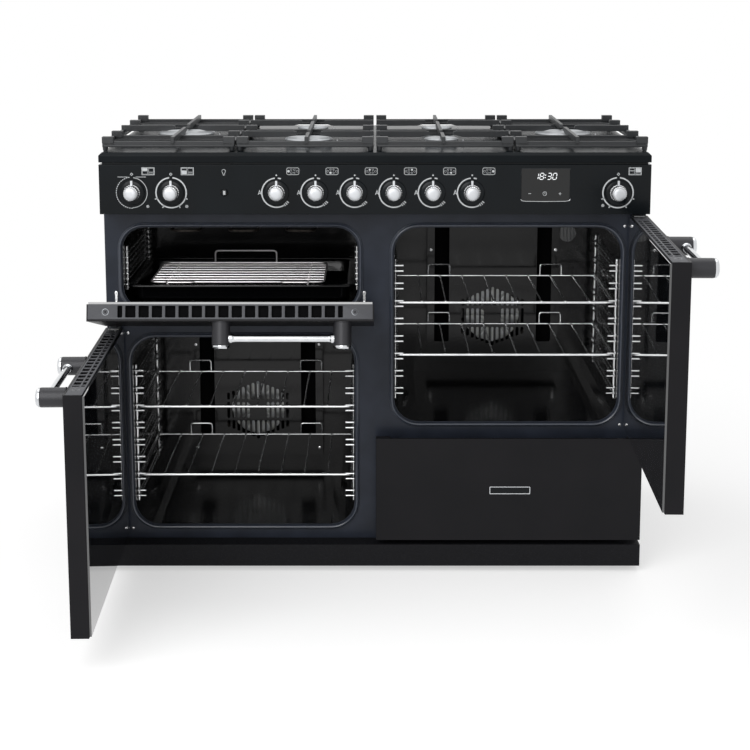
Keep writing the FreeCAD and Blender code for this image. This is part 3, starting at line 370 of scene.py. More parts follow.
def paint(material, *names):
    for name in names:
        data = nodes[name].data
        data.materials.clear()
        data.materials.append(material)


def soften(width, *names):
    # rolled or broken edges on a part that comes from the frame as it is
    for name in names:
        part = nodes[name]
        weld = part.modifiers.new("weld", "WELD")
        weld.merge_threshold = 0.02 * mm
        edge = part.modifiers.new("softEdge", "BEVEL")
        edge.width, edge.segments, edge.limit_method = width, 2, "ANGLE"
        edge.angle_limit, edge.harden_normals = math.radians(40), True


# body, liners and what the frame carries as it is

paint(mats["satin"], "side_panels", "drawer_front")
paint(mats["galvanised"], "back_panel", "drawer_tray", "drawer_runners")
paint(mats["frame"], "front_frame")
paint(mats["plinth"], "plinth")
paint(mats["zinc"], "leveling_feet", "fan_left", "fan_right", "fan_motors", "door_hinges", "gas_rail")
paint(mats["enamel"], "oven_liner_left", "oven_liner_right", "grill_liner", "fan_cover_left", "fan_cover_right",
      "grill_pan")
paint(mats["seal"], "door_seals")
paint(mats["element"], "heating_elements")
paint(mats["lens"], "oven_lamps")
paint(mats["chrome"], "shelf_ladders", "grill_rack")
paint(mats["panel"], "control_panel")
paint(mats["hob"], "hob_deck")
paint(mats["display"], "display_window")
paint(mats["brass"], "taps_and_switches")
paint(mats["button"], "light_button")
paint(mats["aluminium"], "burner_bodies", "burner_caps")
for name in nodes:
    if name.startswith("shelf_") and name != "shelf_ladders":
        paint(mats["chrome"], name)
    if name.startswith("pan_support"):
        paint(mats["iron"], name)
    if name.endswith("_skin"):
        paint(mats["satin"], name)
    if name.endswith("_glass"):
        paint(mats["glass"], name)
    if name.endswith("_vent_trim"):
        paint(mats["trim"], name)
    if name.endswith("_handle"):
        paint(mats["graphite"], name)
    if name.startswith("knob_"):
        paint(mats["silver"], name)
soften(0.9 * mm, "control_panel", "hob_deck", "plinth", "side_panels", "drawer_front")
soften(0.8 * mm, *(name for name in nodes if name.endswith("_skin")))
print("frame painted")

# where the doors stand: pieces are drawn closed and turned with their door

doorTurn = {
    "oven_door_left": ((-532, -26, 0), "Z", -88.5),
    "oven_door_right": ((532, -26, 0), "Z", 88.5),
    "grill_door": ((0, -34, 532.5), "X", 75.5),
}


def openedAs(door):
    pivot, axis, angle = doorTurn[door]
    place = Matrix.Translation(Vector(pivot) * mm)
    return place @ Matrix.Rotation(math.radians(angle), 4, axis) @ place.inverted()


# door handles: graphite posts with chrome ends and a chromed bar

handle = {
    "postRadius": 17.5, "face": -45, "postLength": 45, "barRadius": 7, "barOut": 32,
    "oven_door_left": (-46, -278, 497.5), "oven_door_right": (46, 278, 726.8), "grill_door": (-62.3, -294.3,
                                                                                              727),
}


def makeHandle(door):
    bm = bmesh.new()
    first, second, up = handle[door]
    face, r = handle["face"], handle["postRadius"]
    end = face - handle["postLength"]
    for x in (first, second):
        addTurned(bm, Vector((x, face, up)) * mm, (0, -1, 0),
                  [(0, r + 0.8), (1.5, r + 0.8), (2, r), (44, r), (45, r - 0.8)], 48)
        profile = [(0, 16.4), (0.6, 17.2), (3.4, 17.2), (4.6, 15.6), (6.6, 14.6), (7.6, 12.4), (8, 9)]
        addTurned(bm, Vector((x, end, up)) * mm, (0, -1, 0), profile, 48, 1)
    low, high = sorted((first, second))
    y = face - handle["barOut"]
    for x, away in ((low, -1), (high, 1)):
        addTurned(bm, Vector((x - away * r, y, up)) * mm, (-away, 0, 0),
                  [(-2, 9.2), (4, 9.2), (5, 8.2), (9, 7.4)], 32, 1)
    addTube(bm, [(low, y, up), (high, y, up)], handle["barRadius"], 32, index=1)
    bm.transform(openedAs(door))
    finishPiece(door + "_grip", bm, [mats["graphite"], mats["chrome"]], door,
                [door + "_handle"])


for door in doorTurn:
    makeHandle(door)
print("handles made")

# knobs

knob = {"height": 796, "face": -49.6, "flutes": 20, "fluteDepth": 0.06}
knobAt = {"knob_grill": -484.5, "knob_oven_left": -406.5, "knob_oven_right": 484.5}
for index in range(6):
    knobAt[f"knob_hob_{index + 1}"] = -196.5 + 78 * index


def makeKnob(name, across):
    bm = bmesh.new()
    centre = Vector((across, knob["face"], knob["height"])) * mm
    skirt = [(0, 24), (1, 25), (3.2, 25), (4.4, 24.2), (5, 22.6), (5.2, 16)]
    addTurned(bm, centre, (0, -1, 0), skirt, 64)
    barrel = [(5, 16.4), (6.2, 16.4), (7, 15.5), (20.5, 14.9), (22.2, 14.2), (23, 13.2)]

    def flute(a):
        return 1 - knob["fluteDepth"] * max(0.0, math.cos(a * knob["flutes"])) ** 2
    addTurned(bm, centre, (0, -1, 0), barrel, 160, 1, flute)
    cap = [(22.6, 12.6), (24.8, 12.6), (26.4, 11.8), (27.2, 10), (27.6, 6), (27.6, 1)]
    addTurned(bm, centre, (0, -1, 0), cap, 48, 2)
    for half, low, high, proud in ((2.1, 12, 24.6, 7.0), (0.9, 13, 22, 7.8)):
        addBox(bm, centre + Vector((-half, -proud, low)) * mm, centre + Vector((half, -4.9, high)) * mm, 2)
    finishPiece(name + "_dress", bm, [mats["panel"], mats["wire"], mats["silver"]], name, [name],
                smooth=30)


for name, across in knobAt.items():
    makeKnob(name, across)
print("knobs made")

# printing on the control panel

ink = {"face": -49.15, "line": 0.9, "hobRing": 29.3, "ovenRing": 30.2, "ringWide": 2.6, "symbolUp": 839,
       "symbolRight": 33}


def inkLine(bm, points, width, closed=False, index=0, face=None):
    # flat ribbon in the plane of the panel; points are (x, z) in mm
    y = (ink["face"] if face is None else face) * mm
    points = [Vector((p[0], p[1])) for p in points]
    count = len(points)
    pairs = []
    for i, here in enumerate(points):
        before = points[i - 1] if i or closed else here
        after = points[(i + 1) % count] if i < count - 1 or closed else here
        one = (here - before).normalized() if here != before else (after - here).normalized()
        two = (after - here).normalized() if here != after else one
        across = Vector((-(one + two).y, (one + two).x)).normalized()
        reach = width / 2 / max(0.4, across.dot(Vector((-one.y, one.x))))
        pairs.append([bm.verts.new(((here + across * s * reach).x * mm, y,
                                    (here + across * s * reach).y * mm)) for s in (-1, 1)])
    joins = list(zip(pairs, pairs[1:])) + ([(pairs[-1], pairs[0])] if closed else [])
    for (a, b), (c, d) in joins:
        bm.faces.new((a, b, d, c)).material_index = index


def inkFill(bm, outline, index=0, face=None):
    y = (ink["face"] if face is None else face) * mm
    bm.faces.new([bm.verts.new((x * mm, y, z * mm)) for x, z in outline]).material_index = index


def arc(x, z, radius, start, end, steps=40):
    return [(x + radius * math.cos(math.radians(a)), z + radius * math.sin(math.radians(a)))
            for a in (start + (end - start) * k / steps for k in range(steps + 1))]


def block(x, z, halfX, halfZ):
    return [(x - halfX, z - halfZ), (x + halfX, z - halfZ), (x + halfX, z + halfZ), (x - halfX, z + halfZ)]


def ovenSymbol(bm, x, z, filled):
    # the front of the cooker as four boxes, with the one that the knob serves filled in
    inkLine(bm, block(x, z, 12.4, 7.2), ink["line"], True)
    cells = {"grill": (x - 6.2, z + 3.6, 5.3, 2.6), "left": (x - 6.2, z - 2.7, 5.3, 3.4),
             "right": (x + 6.2, z + 2.2, 5.3, 4.0), "drawer": (x + 6.2, z - 4.6, 5.3, 1.6)}
    for name, (cx, cz, hx, hz) in cells.items():
        if name == filled:
            inkFill(bm, block(cx, cz, hx, hz))
        else:
            inkLine(bm, block(cx, cz, hx - 0.3, hz - 0.3), 0.6, True)


def hobSymbol(bm, x, z, filled):
    # the hob from above: six rings, with the one that the knob serves filled in
    inkLine(bm, roundRect(x - 12.2, x + 12.2, z - 6.8, z + 6.8, 3.2), ink["line"], True)
    rings = [(-8.6, 0, 2.0), (-3, 3, 1.5), (-3, -3, 1.9), (3, 3, 1.5), (3, -3, 1.5), (8.6, 0, 2.0)]
    for index, (dx, dz, r) in enumerate(rings):
        if index == filled:
            inkFill(bm, arc(x + dx, z + dz, r + 0.5, 0, 342, 19))
        else:
            inkLine(bm, arc(x + dx, z + dz, r, 0, 342, 19), 0.45, True)


def hobDial(bm, x, z):
    inkLine(bm, arc(x, z, ink["hobRing"], 96, 300), ink["ringWide"])
    inkLine(bm, arc(x, z, ink["hobRing"], 72, 84, 6), ink["ringWide"])
    inkLine(bm, [(x - 36.5, z - 4), (x - 33.5, z + 4.5), (x - 30.5, z - 4)], 1.3)
    inkLine(bm, [(x - 35, z - 1.5), (x - 32, z - 1.5)], 1.0)
    for turn in (304, 312, 320):
        inkLine(bm, [arc(x, z, r, turn, turn, 1)[0] for r in (26.6, 32)], 2.2)
    inkFill(bm, [(x - 2, z + 35), (x, z + 33), (x + 2, z + 35), (x, z + 37)])


def ovenDial(bm, x, z, wavy):
    r = ink["ovenRing"]
    if wavy:
        inkLine(bm, arc(x, z, r, -88, 84, 44), 1.2)
        for turn in range(98, 272, 8):
            inkLine(bm, arc(x, z, r + (1.1 if turn % 16 else -0.6), turn, turn + 5, 3), 1.6)
        inkLine(bm, [(x - 28, z + 31.5), (x - 8, z + 31.5)], 1.0)
        inkLine(bm, [(x + 8, z + 31.5), (x + 28, z + 31.5)], 1.0)
    else:
        inkLine(bm, arc(x, z, r, 96, 444), ink["ringWide"])
        for turn in (202, 240, 300, 338):
            inkLine(bm, [arc(x, z, radius, turn, turn, 1)[0] for radius in (r - 1, r + 5)], 2.0)
    inkLine(bm, [(x - 2.6, z + 37), (x, z + 34.4), (x + 2.6, z + 37), (x, z + 39.6)], 1.0, True)


def makePrinting():
    bm = bmesh.new()
    up = knob["height"]
    for name, across in knobAt.items():
        if name.startswith("knob_hob"):
            hobDial(bm, across, up)
            order = (0, 2, 1, 3, 4, 5)
            hobSymbol(bm, across + ink["symbolRight"], ink["symbolUp"], order[int(name[-1]) - 1])
        else:
            ovenDial(bm, across, up, name == "knob_grill")
            ovenSymbol(bm, across + ink["symbolRight"], ink["symbolUp"],
                       {"knob_grill": "grill", "knob_oven_left": "left"}.get(name, "right"))
    for x, z in ((-453.6, 768.4), (-375.8, 768.4), (454.8, 770.2)):
        inkLine(bm, arc(x, z, 2.4, 0, 340, 17), 1.0, True)
        inkFill(bm, arc(x, z, 1.1, 0, 324, 9))
    inkLine(bm, arc(-301, 839, 3.6, -50, 230, 18) + [(-302.6, 833), (-299.4, 833)], 0.9, True)
    inkLine(bm, [(-302.4, 831), (-299.6, 831)], 1.0)
    finishPiece("panelPrinting", bm, mats["ink"], "cooker")


makePrinting()

clock = {"left": 317, "low": 822.5, "wide": 7.2, "tall": 12.4, "slant": 0.16, "stroke": 1.35, "face": -48.1,
         "time": "18:30"}
segments = {"0": "abcdef", "1": "bc", "3": "abcdg", "8": "abcdefg"}


def makeDisplay():
    # seven-segment clock behind the window, touch marks, and the bright lower lip
    bm = bmesh.new()
    x, w, h = clock["left"], clock["wide"], clock["tall"]
    for sign in clock["time"]:
        if sign == ":":
            for z in (0.3, 0.7):
                inkFill(bm, [(x + clock["slant"] * h * z + a, clock["low"] + h * z + b) for a,
                             b in ((-1, -1), (1, -1), (1, 1), (-1, 1))],
                        face=clock["face"])
            x += 4.6
            continue
        ends = {"a": ((0, 1), (1, 1)), "b": ((1, 1), (1, 0.5)), "c": ((1, 0.5), (1, 0)), "d": ((0, 0), (1, 0)),
                "e": ((0, 0.5), (0, 0)), "f": ((0, 1), (0, 0.5)), "g": ((0, 0.5), (1, 0.5))}
        for name in segments[sign]:
            line = []
            for u, v in ends[name]:
                line.append(Vector((x + u * w + clock["slant"] * v * h, clock["low"] + v * h)))
            gap = (line[1] - line[0]).normalized() * 0.9
            inkLine(bm, [line[0] + gap, line[1] - gap], clock["stroke"], face=clock["face"])
        x += w + 3.4
    finishPiece("clockDigits", bm, mats["digits"], "cooker")
    bm = bmesh.new()
    inkLine(bm, [(306, 794), (311.5, 794)], 1.0, face=clock["face"])
    inkLine(bm, arc(338.6, 794, 3.8, 0, 340, 17), 0.8, True, face=clock["face"])
    inkLine(bm, [(338.6, 796.6), (338.6, 794), (340.4, 793)], 0.7, face=clock["face"])
    inkLine(bm, [(366.4, 794), (371.8, 794)], 1.0, face=clock["face"])
    inkLine(bm, [(369.1, 791.3), (369.1, 796.7)], 1.0, face=clock["face"])
    finishPiece("touchMarks", bm, mats["ink"], "cooker")
    bm = bmesh.new()
    lip = [(290.6, -49.2, 782.4), (293, -49.2, 780), (300, -49.2, 778.9), (340, -49.2, 778.4),
           (380, -49.2, 778.9), (387, -49.2, 780), (389.4, -49.2, 782.4)]
    addTube(bm, rounded(lip, 5), 0.6, 8)
    # painted shade: a thin black-chrome tube round the window stands for the shadow line at its edge
    windowShadeLine = [(x, -49.1, z) for x, z in block(340, 811.5, 48.6, 32.6)]
    addTube(bm, windowShadeLine, 0.35, 6, closed=True, index=1)
    finishPiece("displayLip", bm, [mats["chrome"], mats["darkChrome"]], "cooker")


makeDisplay()


def makeButton():
    bm = bmesh.new()
    centre = Vector((-300.3, -44.5, 796)) * mm
    shape = [(0, 6.9), (6.4, 6.9), (7.2, 6.2), (7.5, 5)]
    addTurned(bm, centre, (0, -1, 0), shape, 32, 1)
    addBar(bm, (-302.6, -52.4, 792), (-298, -51.4, 800))
    finishPiece("lightButtonCap", bm, [mats["button"], mats["panel"]], "light_button",
                ["light_button"], 0.3 * mm)


makeButton()
print("control panel made")

# vent trims along the door tops

trim = {"thick": 1.5, "slot": 19.6, "pitch": 25.3, "count": 18, "corner": 1.6, "endSlot": 9.2, "screwIn": 36,
        "shadeSheetDrop": 5}


def addScrew(bm, place, axis, radius, index=(0, 1)):
    # cross-head screw: domed head with a dark cross laid on it; the cross's dark colour is painted shade standing
    # for the recess
    place, axis = Vector(place) * mm, Vector(axis).normalized()
    head = [(0, radius), (0.5, radius), (1.1, radius * 0.8), (1.4, radius * 0.4)]
    addTurned(bm, place, axis, head, 20, index[0])
    side = axis.orthogonal().normalized()
    for along in (side, axis.cross(side)):
        across = axis.cross(along)
        crossShade = addBox(bm, (-radius * 0.5 * mm, -radius * 0.11 * mm, 1.0 * mm),
                      (radius * 0.5 * mm, radius * 0.11 * mm, 1.5 * mm), index[1])
        turn = Matrix((along, across, axis)).transposed()
        for v in crossShade:
            v.co = place + turn @ v.co


def makeTrim(door, x0, x1, top, rows):
    bm = bmesh.new()
    middle, last = (x0 + x1) / 2, trim["count"] - 1
    outlines = [roundRect(x0 + 2.3, x1 - 2.3, -41, -12, 1.2)]
    for low, high in rows:
        for index in range(trim["count"]):
            start = middle + (index - last / 2) * trim["pitch"] - trim["slot"] / 2
            end = start + trim["slot"]
            start = end - trim["endSlot"] if index == 0 else start
            end = start + trim["endSlot"] if index == last else end
            outlines.append(roundRect(start, end, low, high, trim["corner"], 3)[::-1])

    def lay(u, v, w):
        return (u * mm, v * mm, (top - trim["thick"] / 2 + w) * mm)
    addPlate(bm, outlines, trim["thick"], lay, 0.25)
    bmesh.ops.remove_doubles(bm, verts=bm.verts, dist=0.001 * mm)
    for x in (x0 + trim["screwIn"], x1 - trim["screwIn"]):
        well = [(-0.3, 6.6), (0.3, 6.6), (0.4, 5.4), (-0.2, 5)]
        addTurned(bm, Vector((x, -27, top - 0.3)) * mm, (0, 0, 1), well, 24, 1)
        # the screw crosses take the black of the painted shade sheet
        addScrew(bm, (x, -27, top - 1.5), (0, 0, 1), 4.4, (1, 2))
    # painted shade: a matt black sheet just under the trim, standing where the door's hollow would lie in shade
    low = top - trim["thick"] - trim["shadeSheetDrop"]
    addBar(bm, (x0 + 58, -40, low), (x1 - 58, -15, low + 0.5), 2)
    bm.transform(openedAs(door))
    finishPiece(door + "_ventTrim", bm, [mats["trim"], mats["darkChrome"], mats["shadeBlack"]], door,
                [door + "_vent_trim"])


makeTrim("oven_door_left", -549, -2, 512.5, [(-38, -25), (-22, -15.5)])
makeTrim("oven_door_right", 2, 549, 744.3, [(-38, -25), (-22, -15.5)])
makeTrim("grill_door", -549, -2, 744.5, [(-37.5, -15)])
print("vent trims made")

# wire work: ladders, shelves, grill rack

wire = {
    "rung": 2.0, "rungTip": 1.7, "hairpin": 1.8, "rungPitch": 37, "rungPair": 5.7, "rungFloor": 60, "rungs": 8,
    "shelfBar": 3.2, "shelfSide": 2.7, "shelfWire": 1.7, "shelfWires": 8, "shelfEdge": 7.8,
}
ovens = {
    "left": {"x": (-500.7, -42.4), "z": (89, 490), "fan": (-271.55, 228),
             "shelves": {"shelf_left_lower": 186, "shelf_left_upper": 334}},
    "right": {"x": (39.5, 500.7), "z": (311, 718.4), "fan": (270.1, 450),
              "shelves": {"shelf_right_lower": 445, "shelf_right_upper": 556}},
}
grill = {"x": (-514, -34.5), "z": (550, 718.6), "rungFloor": 594.7, "rungPitch": 11.3, "rungs": 7}


def addLadder(bm, wall, side, levels, front, rear, reach):
    # side is +1 where the wall is on the low side of X; rungs turn in to the wall at their ends
    rungX = wall + side * 6
    for z in levels:
        path = [(wall + side * reach, front, z), (wall + side * 1.4, front, z)]
        addTube(bm, path, wire["rungTip"], 8)
        addTube(bm, rounded([(wall + side * 1.4, front + 1, z), (rungX, front + 14, z), (rungX, rear, z),
                             (wall + side * 1.4, rear, z)], 8), wire["rung"], 8)
    low, high = min(levels) - 12, max(levels) + 12
    for y in (front + 12, rear - 26):
        hairpin = [(wall + side * 2.4, y - 4.2, low), (wall + side * 2.4, y - 4.2, high),
                   (wall + side * 2.4, y + 4.2, high), (wall + side * 2.4, y + 4.2, low)]
        addTube(bm, rounded(hairpin, 4), wire["hairpin"], 8)


def makeLadders():
    bm = bmesh.new()
    for oven in ovens.values():
        floor = oven["z"][0]
        pairs = [floor + wire["rungFloor"] + wire["rungPitch"] * k for k in range(wire["rungs"])]
        levels = [z + s * wire["rungPair"] for z in pairs for s in (-1, 1)]
        for wall, side in zip(oven["x"], (1, -1)):
            addLadder(bm, wall, side, levels, 24, 385, 19)
    levels = [grill["rungFloor"] + grill["rungPitch"] * k for k in range(grill["rungs"])]
    for wall, side in zip(grill["x"], (1, -1)):
        addLadder(bm, wall, side, levels, 30, 385, 6)
    finishPiece("ladderWires", bm, mats["wire"], "cooker", ["shelf_ladders"])


def makeShelf(name, x0, x1, z):
    bm = bmesh.new()
    x0, x1 = x0 + wire["shelfEdge"], x1 - wire["shelfEdge"]
    front, rear, lift = 37, 342, 1.6
    side = wire["shelfSide"]
    for x, away in ((x0, 1), (x1, -1)):
        addTube(bm, [(x, front + 8, z), (x, rear, z)], side, 10)
        addTube(bm, rounded([(x, front + 10, z), (x, front, z), (x + away * 16, front, z - 0.2),
                             (x + away * 40, front, z - 0.4)], 9), side, 10)
    addTube(bm, [(x0 + 14, front, z - 0.4), (x1 - 14, front, z - 0.4)], wire["shelfBar"], 14)
    addTube(bm, [(x0, rear, z), (x1, rear, z)], 2.0, 10)
    for k in range(1, wire["shelfWires"] + 1):
        x = x0 + (x1 - x0) * k / (wire["shelfWires"] + 1)
        path = [(x, front - 2.6, z + 2.2), (x, front, z + 3.6), (x, front + 10, z + lift + 0.6),
                (x, rear + 1, z + lift + 0.6)]
        addTube(bm, path, wire["shelfWire"], 8)
    middle = (x0 + x1) / 2
    for centre in (middle - 126, middle + 126):
        stop = [(centre - 24, rear, z), (centre - 24, rear, z + 25.6), (centre + 24, rear, z + 25.6),
                (centre + 24, rear, z)]
        addTube(bm, rounded(stop, 6), wire["shelfWire"], 8)
    finishPiece(name + "_wires", bm, mats["wire"], name, [name])


makeLadders()
for oven in ovens.values():
    for name, z in oven["shelves"].items():
        makeShelf(name, *oven["x"], z)


rack = {"x": (-460.25, -104.25), "y": (14, 240), "z": 603, "bars": 7, "bar": 2.0, "rim": 2.2, "leg": 1.9}


def makeRack():
    bm = bmesh.new()
    (x0, x1), (y0, y1), z = rack["x"], rack["y"], rack["z"]
    rim = roundRect(x0, x1, y0, y1, 14, 4)
    addTube(bm, [(x, y, z) for x, y in rim], rack["rim"], 10, closed=True)
    for k in range(1, rack["bars"] + 1):
        y = y0 + (y1 - y0) * k / (rack["bars"] + 1)
        addTube(bm, [(x0, y, z), (x1, y, z)], rack["bar"], 8)
    for x in (x0 + 34, x1 - 34):
        for y in (28, 226):
            addTube(bm, [(x, y, 567.2), (x, y, z)], rack["leg"], 8)
        addTube(bm, [(x, y0, z - 2.6), (x, y1, z - 2.6)], rack["leg"], 8)
    for centre in (-400, -164):
        loop = [(centre - 30, y0, z), (centre - 24, y0 - 5, z), (centre + 24, y0 - 5, z), (centre + 30, y0, z)]
        addTube(bm, rounded(loop, 4), rack["leg"], 8)
    bow = [(-349, y1, z), (-349, y1, z + 27), (-215, y1, z + 27), (-215, y1, z)]
    addTube(bm, rounded(bow, 8), rack["leg"], 8)
    finishPiece("grillRackWires", bm, mats["rackSteel"], "grill_rack", ["grill_rack"])


makeRack()
print("wire work made")

# door gaskets

seal = {"ovenCorner": 50, "grillCorner": 45, "tubes": ((5, 3.3, 4.0), (8.6, 1.4, 1.8)), "flat": 0.8}


def makeSeals():
    # gasket clipped round each opening: a flattened tube and its thinner outer lip
    bm = bmesh.new()
    for opening in (*ovens.values(), grill):
        (x0, x1), (z0, z1) = opening["x"], opening["z"]
        corner = seal["grillCorner"] if opening is grill else seal["ovenCorner"]
        for out, proud, r in seal["tubes"]:
            rim = roundRect(x0 - out, x1 + out, z0 - out, z1 + out, corner + out, 10)
            path = [(x, -proud, z) for x, z in rim]
            addTube(bm, path, r, 12, closed=True, flat=seal["flat"])
    finishPiece("doorGaskets", bm, mats["seal"], "cooker", ["door_seals"])


makeSeals()

# framed plate on the drawer front

drawerPlate = {"place": (278, 177), "half": (42, 8), "edge": 1.6}


def makeDrawerPlate():
    bm = bmesh.new()

    def lay(u, v, w):
        return ((drawerPlate["place"][0] + u) * mm, (-45.5 - w) * mm, (drawerPlate["place"][1] + v) * mm)
    (wide, tall), edge = drawerPlate["half"], drawerPlate["edge"]
    inner = (wide - edge, tall - edge)
    addPlate(bm, [roundRect(-wide, wide, -tall, tall, 1.6),
                  roundRect(-inner[0], inner[0], -inner[1], inner[1], 0.9)[::-1]],
             1.0, lay, 0.2)
    x, z = drawerPlate["place"]
    addBar(bm, (x - inner[0], -45.3, z - inner[1]), (x + inner[0], -45, z + inner[1]), 1)
    finishPiece("blankPlate", bm, [mats["silver"], mats["panel"]], "drawer")


makeDrawerPlate()

# burners

burners = [(-405, 236, 60), (-137.5, 106, 49), (-137.5, 362, 35), (137.5, 106, 35), (137.5, 362, 35),
           (405, 236, 60)]
hob = {"top": 876}


def makeBurners():
    heads, caps = bmesh.new(), bmesh.new()
    for x, y, r in burners:
        base = Vector((x, y, hob["top"])) * mm
        flange = [(-20, 26), (0.2, 27), (0.4, r + 6), (2.4, r + 5.4), (4.6, r + 1), (5, r - 2)]
        addTurned(heads, base, (0, 0, 1), flange, 48)
        teeth = round(r * 0.9)

        def slotted(a):
            return 1 - 0.05 * (math.cos(a * teeth) > 0.3)
        addTurned(heads, base, (0, 0, 1), [(4.8, r - 3), (9.8, r - 2.4), (11, r - 5)], teeth * 4, 0, slotted)
        cap = [(11.1, r - 3), (11.3, r), (12.6, r + 0.2), (14, r - 1), (15, r - 3.6), (15.4, r - 9),
               (15.5, r * 0.4)]
        addTurned(caps, base, (0, 0, 1), cap, 64)
        addTurned(heads, base + Vector((r + 10.5, 0, 0)) * mm, (0, 0, 1),
                  [(0, 3.2), (6, 3.2), (6.5, 1.4), (11.8, 1.2)], 16, 1)
    finishPiece("burnerHeads", heads, [mats["aluminium"], mats["button"]], "cooker",
                ["burner_bodies"])
    finishPiece("burnerLids", caps, mats["aluminium"], "cooker", ["burner_caps"])


makeBurners()
print("burners made")

# cast pan supports

grate = {
    "front": -24, "rear": 496, "top": 905, "armLow": 892, "webTop": 896, "flangeTop": 889, "low": 884,
    "bar": 7, "flange": 10.5, "block": (23, 15), "eye": 24, "corner": 30, "foot": 12,
}
outerRows = (-16.5, 106, 362, 488.5)
centreRows = (-16.5, 236, 488.5)


def addArm(bm, start, end, across):
    # finger that reaches in over a burner: its underside rises and its tip is cut back
    start, end = Vector(start), Vector(end)
    side = Vector(across) * grate["bar"] / 2
    profile = [(0, grate["armLow"]), (0.82, grate["armLow"] + 0.5), (1, grate["armLow"] + 5),
               (0.985, grate["top"] - 1), (0.93, grate["top"]), (0, grate["top"])]
    rings = []
    for sign in (-1, 1):
        ring = []
        for share, z in profile:
            here = start.lerp(end, share) + side * sign
            ring.append(bm.verts.new(Vector((here.x, here.y, z)) * mm))
        rings.append(ring)
    for k in range(len(profile)):
        n = (k + 1) % len(profile)
        bm.faces.new((rings[0][k], rings[0][n], rings[1][n], rings[1][k]))
    bm.faces.new(rings[0])
    bm.faces.new(rings[1])


def makeSupport(name, x0, x1, rows, burnerPlaces):
    bm = bmesh.new()
    half, wide, (blockX, blockY) = grate["bar"] / 2, grate["flange"] / 2, grate["block"]
    middle = (grate["flangeTop"] + grate["low"]) / 2

    def lay(u, v, w):
        return (u * mm, v * mm, (middle + w) * mm)
    # flange all round with a rounded window between each two rows
    windows = [roundRect(x0 + grate["flange"], x1 - grate["flange"], one + wide, two - wide,
                         grate["corner"])[::-1]
               for one, two in zip(rows, rows[1:])]
    addPlate(bm, [roundRect(x0, x1, grate["front"], grate["rear"], 4)] + windows,
             grate["flangeTop"] - grate["low"], lay, 1.0)
    for x in (x0 + half + 0.4, x1 - half - 0.4):
        addBar(bm, (x - half, grate["front"] + 1, grate["low"] + 1),
               (x + half, grate["rear"] - 1, grate["webTop"]))
    for row in rows:
        addBar(bm, (x0 + 0.4, row - half, grate["low"] + 1), (x1 - 0.4, row + half, grate["webTop"]))
        for x in (x0, x1 - blockX):
            addBar(bm, (x, row - blockY / 2, grate["armLow"]), (x + blockX, row + blockY / 2, grate["top"]))
            addBar(bm, (x + 2, row - half - 1.6, grate["low"] + 2),
                   (x + blockX - 2, row + half + 1.6, grate["armLow"] + 2))
    for x in (x0 + grate["foot"] / 2, x1 - grate["foot"] / 2):
        for y in (grate["front"] + grate["foot"] / 2, grate["rear"] - grate["foot"] / 2):
            foot = [(0.4, 4.2), (1.4, 5.0), (5, 5.4), (9.4, 5.9)]
            addTurned(bm, Vector((x, y, hob["top"])) * mm, (0, 0, 1), foot, 20)
    for cx, cy, y0, y1 in burnerPlaces:
        eye = grate["eye"]
        addArm(bm, (x0, cy, 0), (cx - eye, cy, 0), (0, 1, 0))
        addArm(bm, (x1, cy, 0), (cx + eye, cy, 0), (0, 1, 0))
        addArm(bm, (cx, y0, 0), (cx, cy - eye, 0), (1, 0, 0))
        addArm(bm, (cx, y1, 0), (cx, cy + eye, 0), (1, 0, 0))
    finishPiece(name + "_casting", bm, mats["iron"], name, [name], bevel=1.1 * mm)


for side, x0, x1 in (("left", -546, -281), ("right", 281, 546)):
    makeSupport("pan_support_outer_" + side, x0, x1, outerRows,
                [(math.copysign(405, x0), 236, grate["front"], grate["rear"])])
for side, x0, x1 in (("left", -277, -3), ("right", 3, 277)):
    cx = math.copysign(137.5, x0 + x1)
    makeSupport("pan_support_centre_" + side, x0, x1, centreRows,
                [(cx, 106, grate["front"], 236), (cx, 362, 236, grate["rear"])])
print("pan supports made")

# heating elements: sheathed tube, round in section

heater = {"ring": 82, "tube": 3.3, "grillTube": 3.1, "pitch": 60, "front": 70, "rear": 435}


def makeElements():
    bm = bmesh.new()
    for cx, cz in (oven["fan"] for oven in ovens.values()):
        gap = math.asin(14 / heater["ring"])
        arc = []
        for k in range(49):
            a = math.pi / 2 + gap + (2 * math.pi - 2 * gap) * k / 48
            arc.append((cx + heater["ring"] * math.cos(a), 416, cz + heater["ring"] * math.sin(a)))
        path = [(arc[0][0], heater["rear"] - 0.5, arc[0][2])] + arc + [(arc[-1][0], heater["rear"] - 0.5,
                                                                        arc[-1][2])]
        addTube(bm, path, heater["tube"], 10)
    cx, z = -274.25, 700.6
    for leg in (-2.5, -0.5, 1.5):
        x0, x1 = cx + leg * heater["pitch"], cx + (leg + 1) * heater["pitch"]
        path = [(x0, heater["rear"] - 0.5, z), (x0, heater["front"], z), (x1, heater["front"], z),
                (x1, heater["rear"] - 0.5, z)]
        addTube(bm, rounded(path, 24, 8), heater["grillTube"], 10)
    addBar(bm, (cx - 152, 403.5, z - 2), (cx + 152, 406.5, z + 2.6))
    finishPiece("elementTubes", bm, mats["element"], "cooker", ["heating_elements"])


makeElements()

# grill pan: pressed and enamelled, with a rolled rim

pan = {"x": (-508.25, -40.25), "y": (-5, 325), "rim": 599, "wide": 16, "corner": 26}


def addLoft(bm, loops, capEnds=(False, True)):
    # skins a run of outlines that have the same number of points
    rings = [[bm.verts.new(Vector(p) * mm) for p in loop] for loop in loops]
    for one, two in zip(rings, rings[1:]):
        for k in range(len(one)):
            n = (k + 1) % len(one)
            bm.faces.new((one[k], one[n], two[n], two[k]))
    for capped, ring in zip(capEnds, (rings[0], rings[-1])):
        if capped:
            bm.faces.new(ring)


def panLoop(inset, z, corner):
    (x0, x1), (y0, y1) = pan["x"], pan["y"]
    return [(x, y, z) for x, y in roundRect(x0 + inset, x1 - inset, y0 + inset, y1 - inset, corner, 6)]


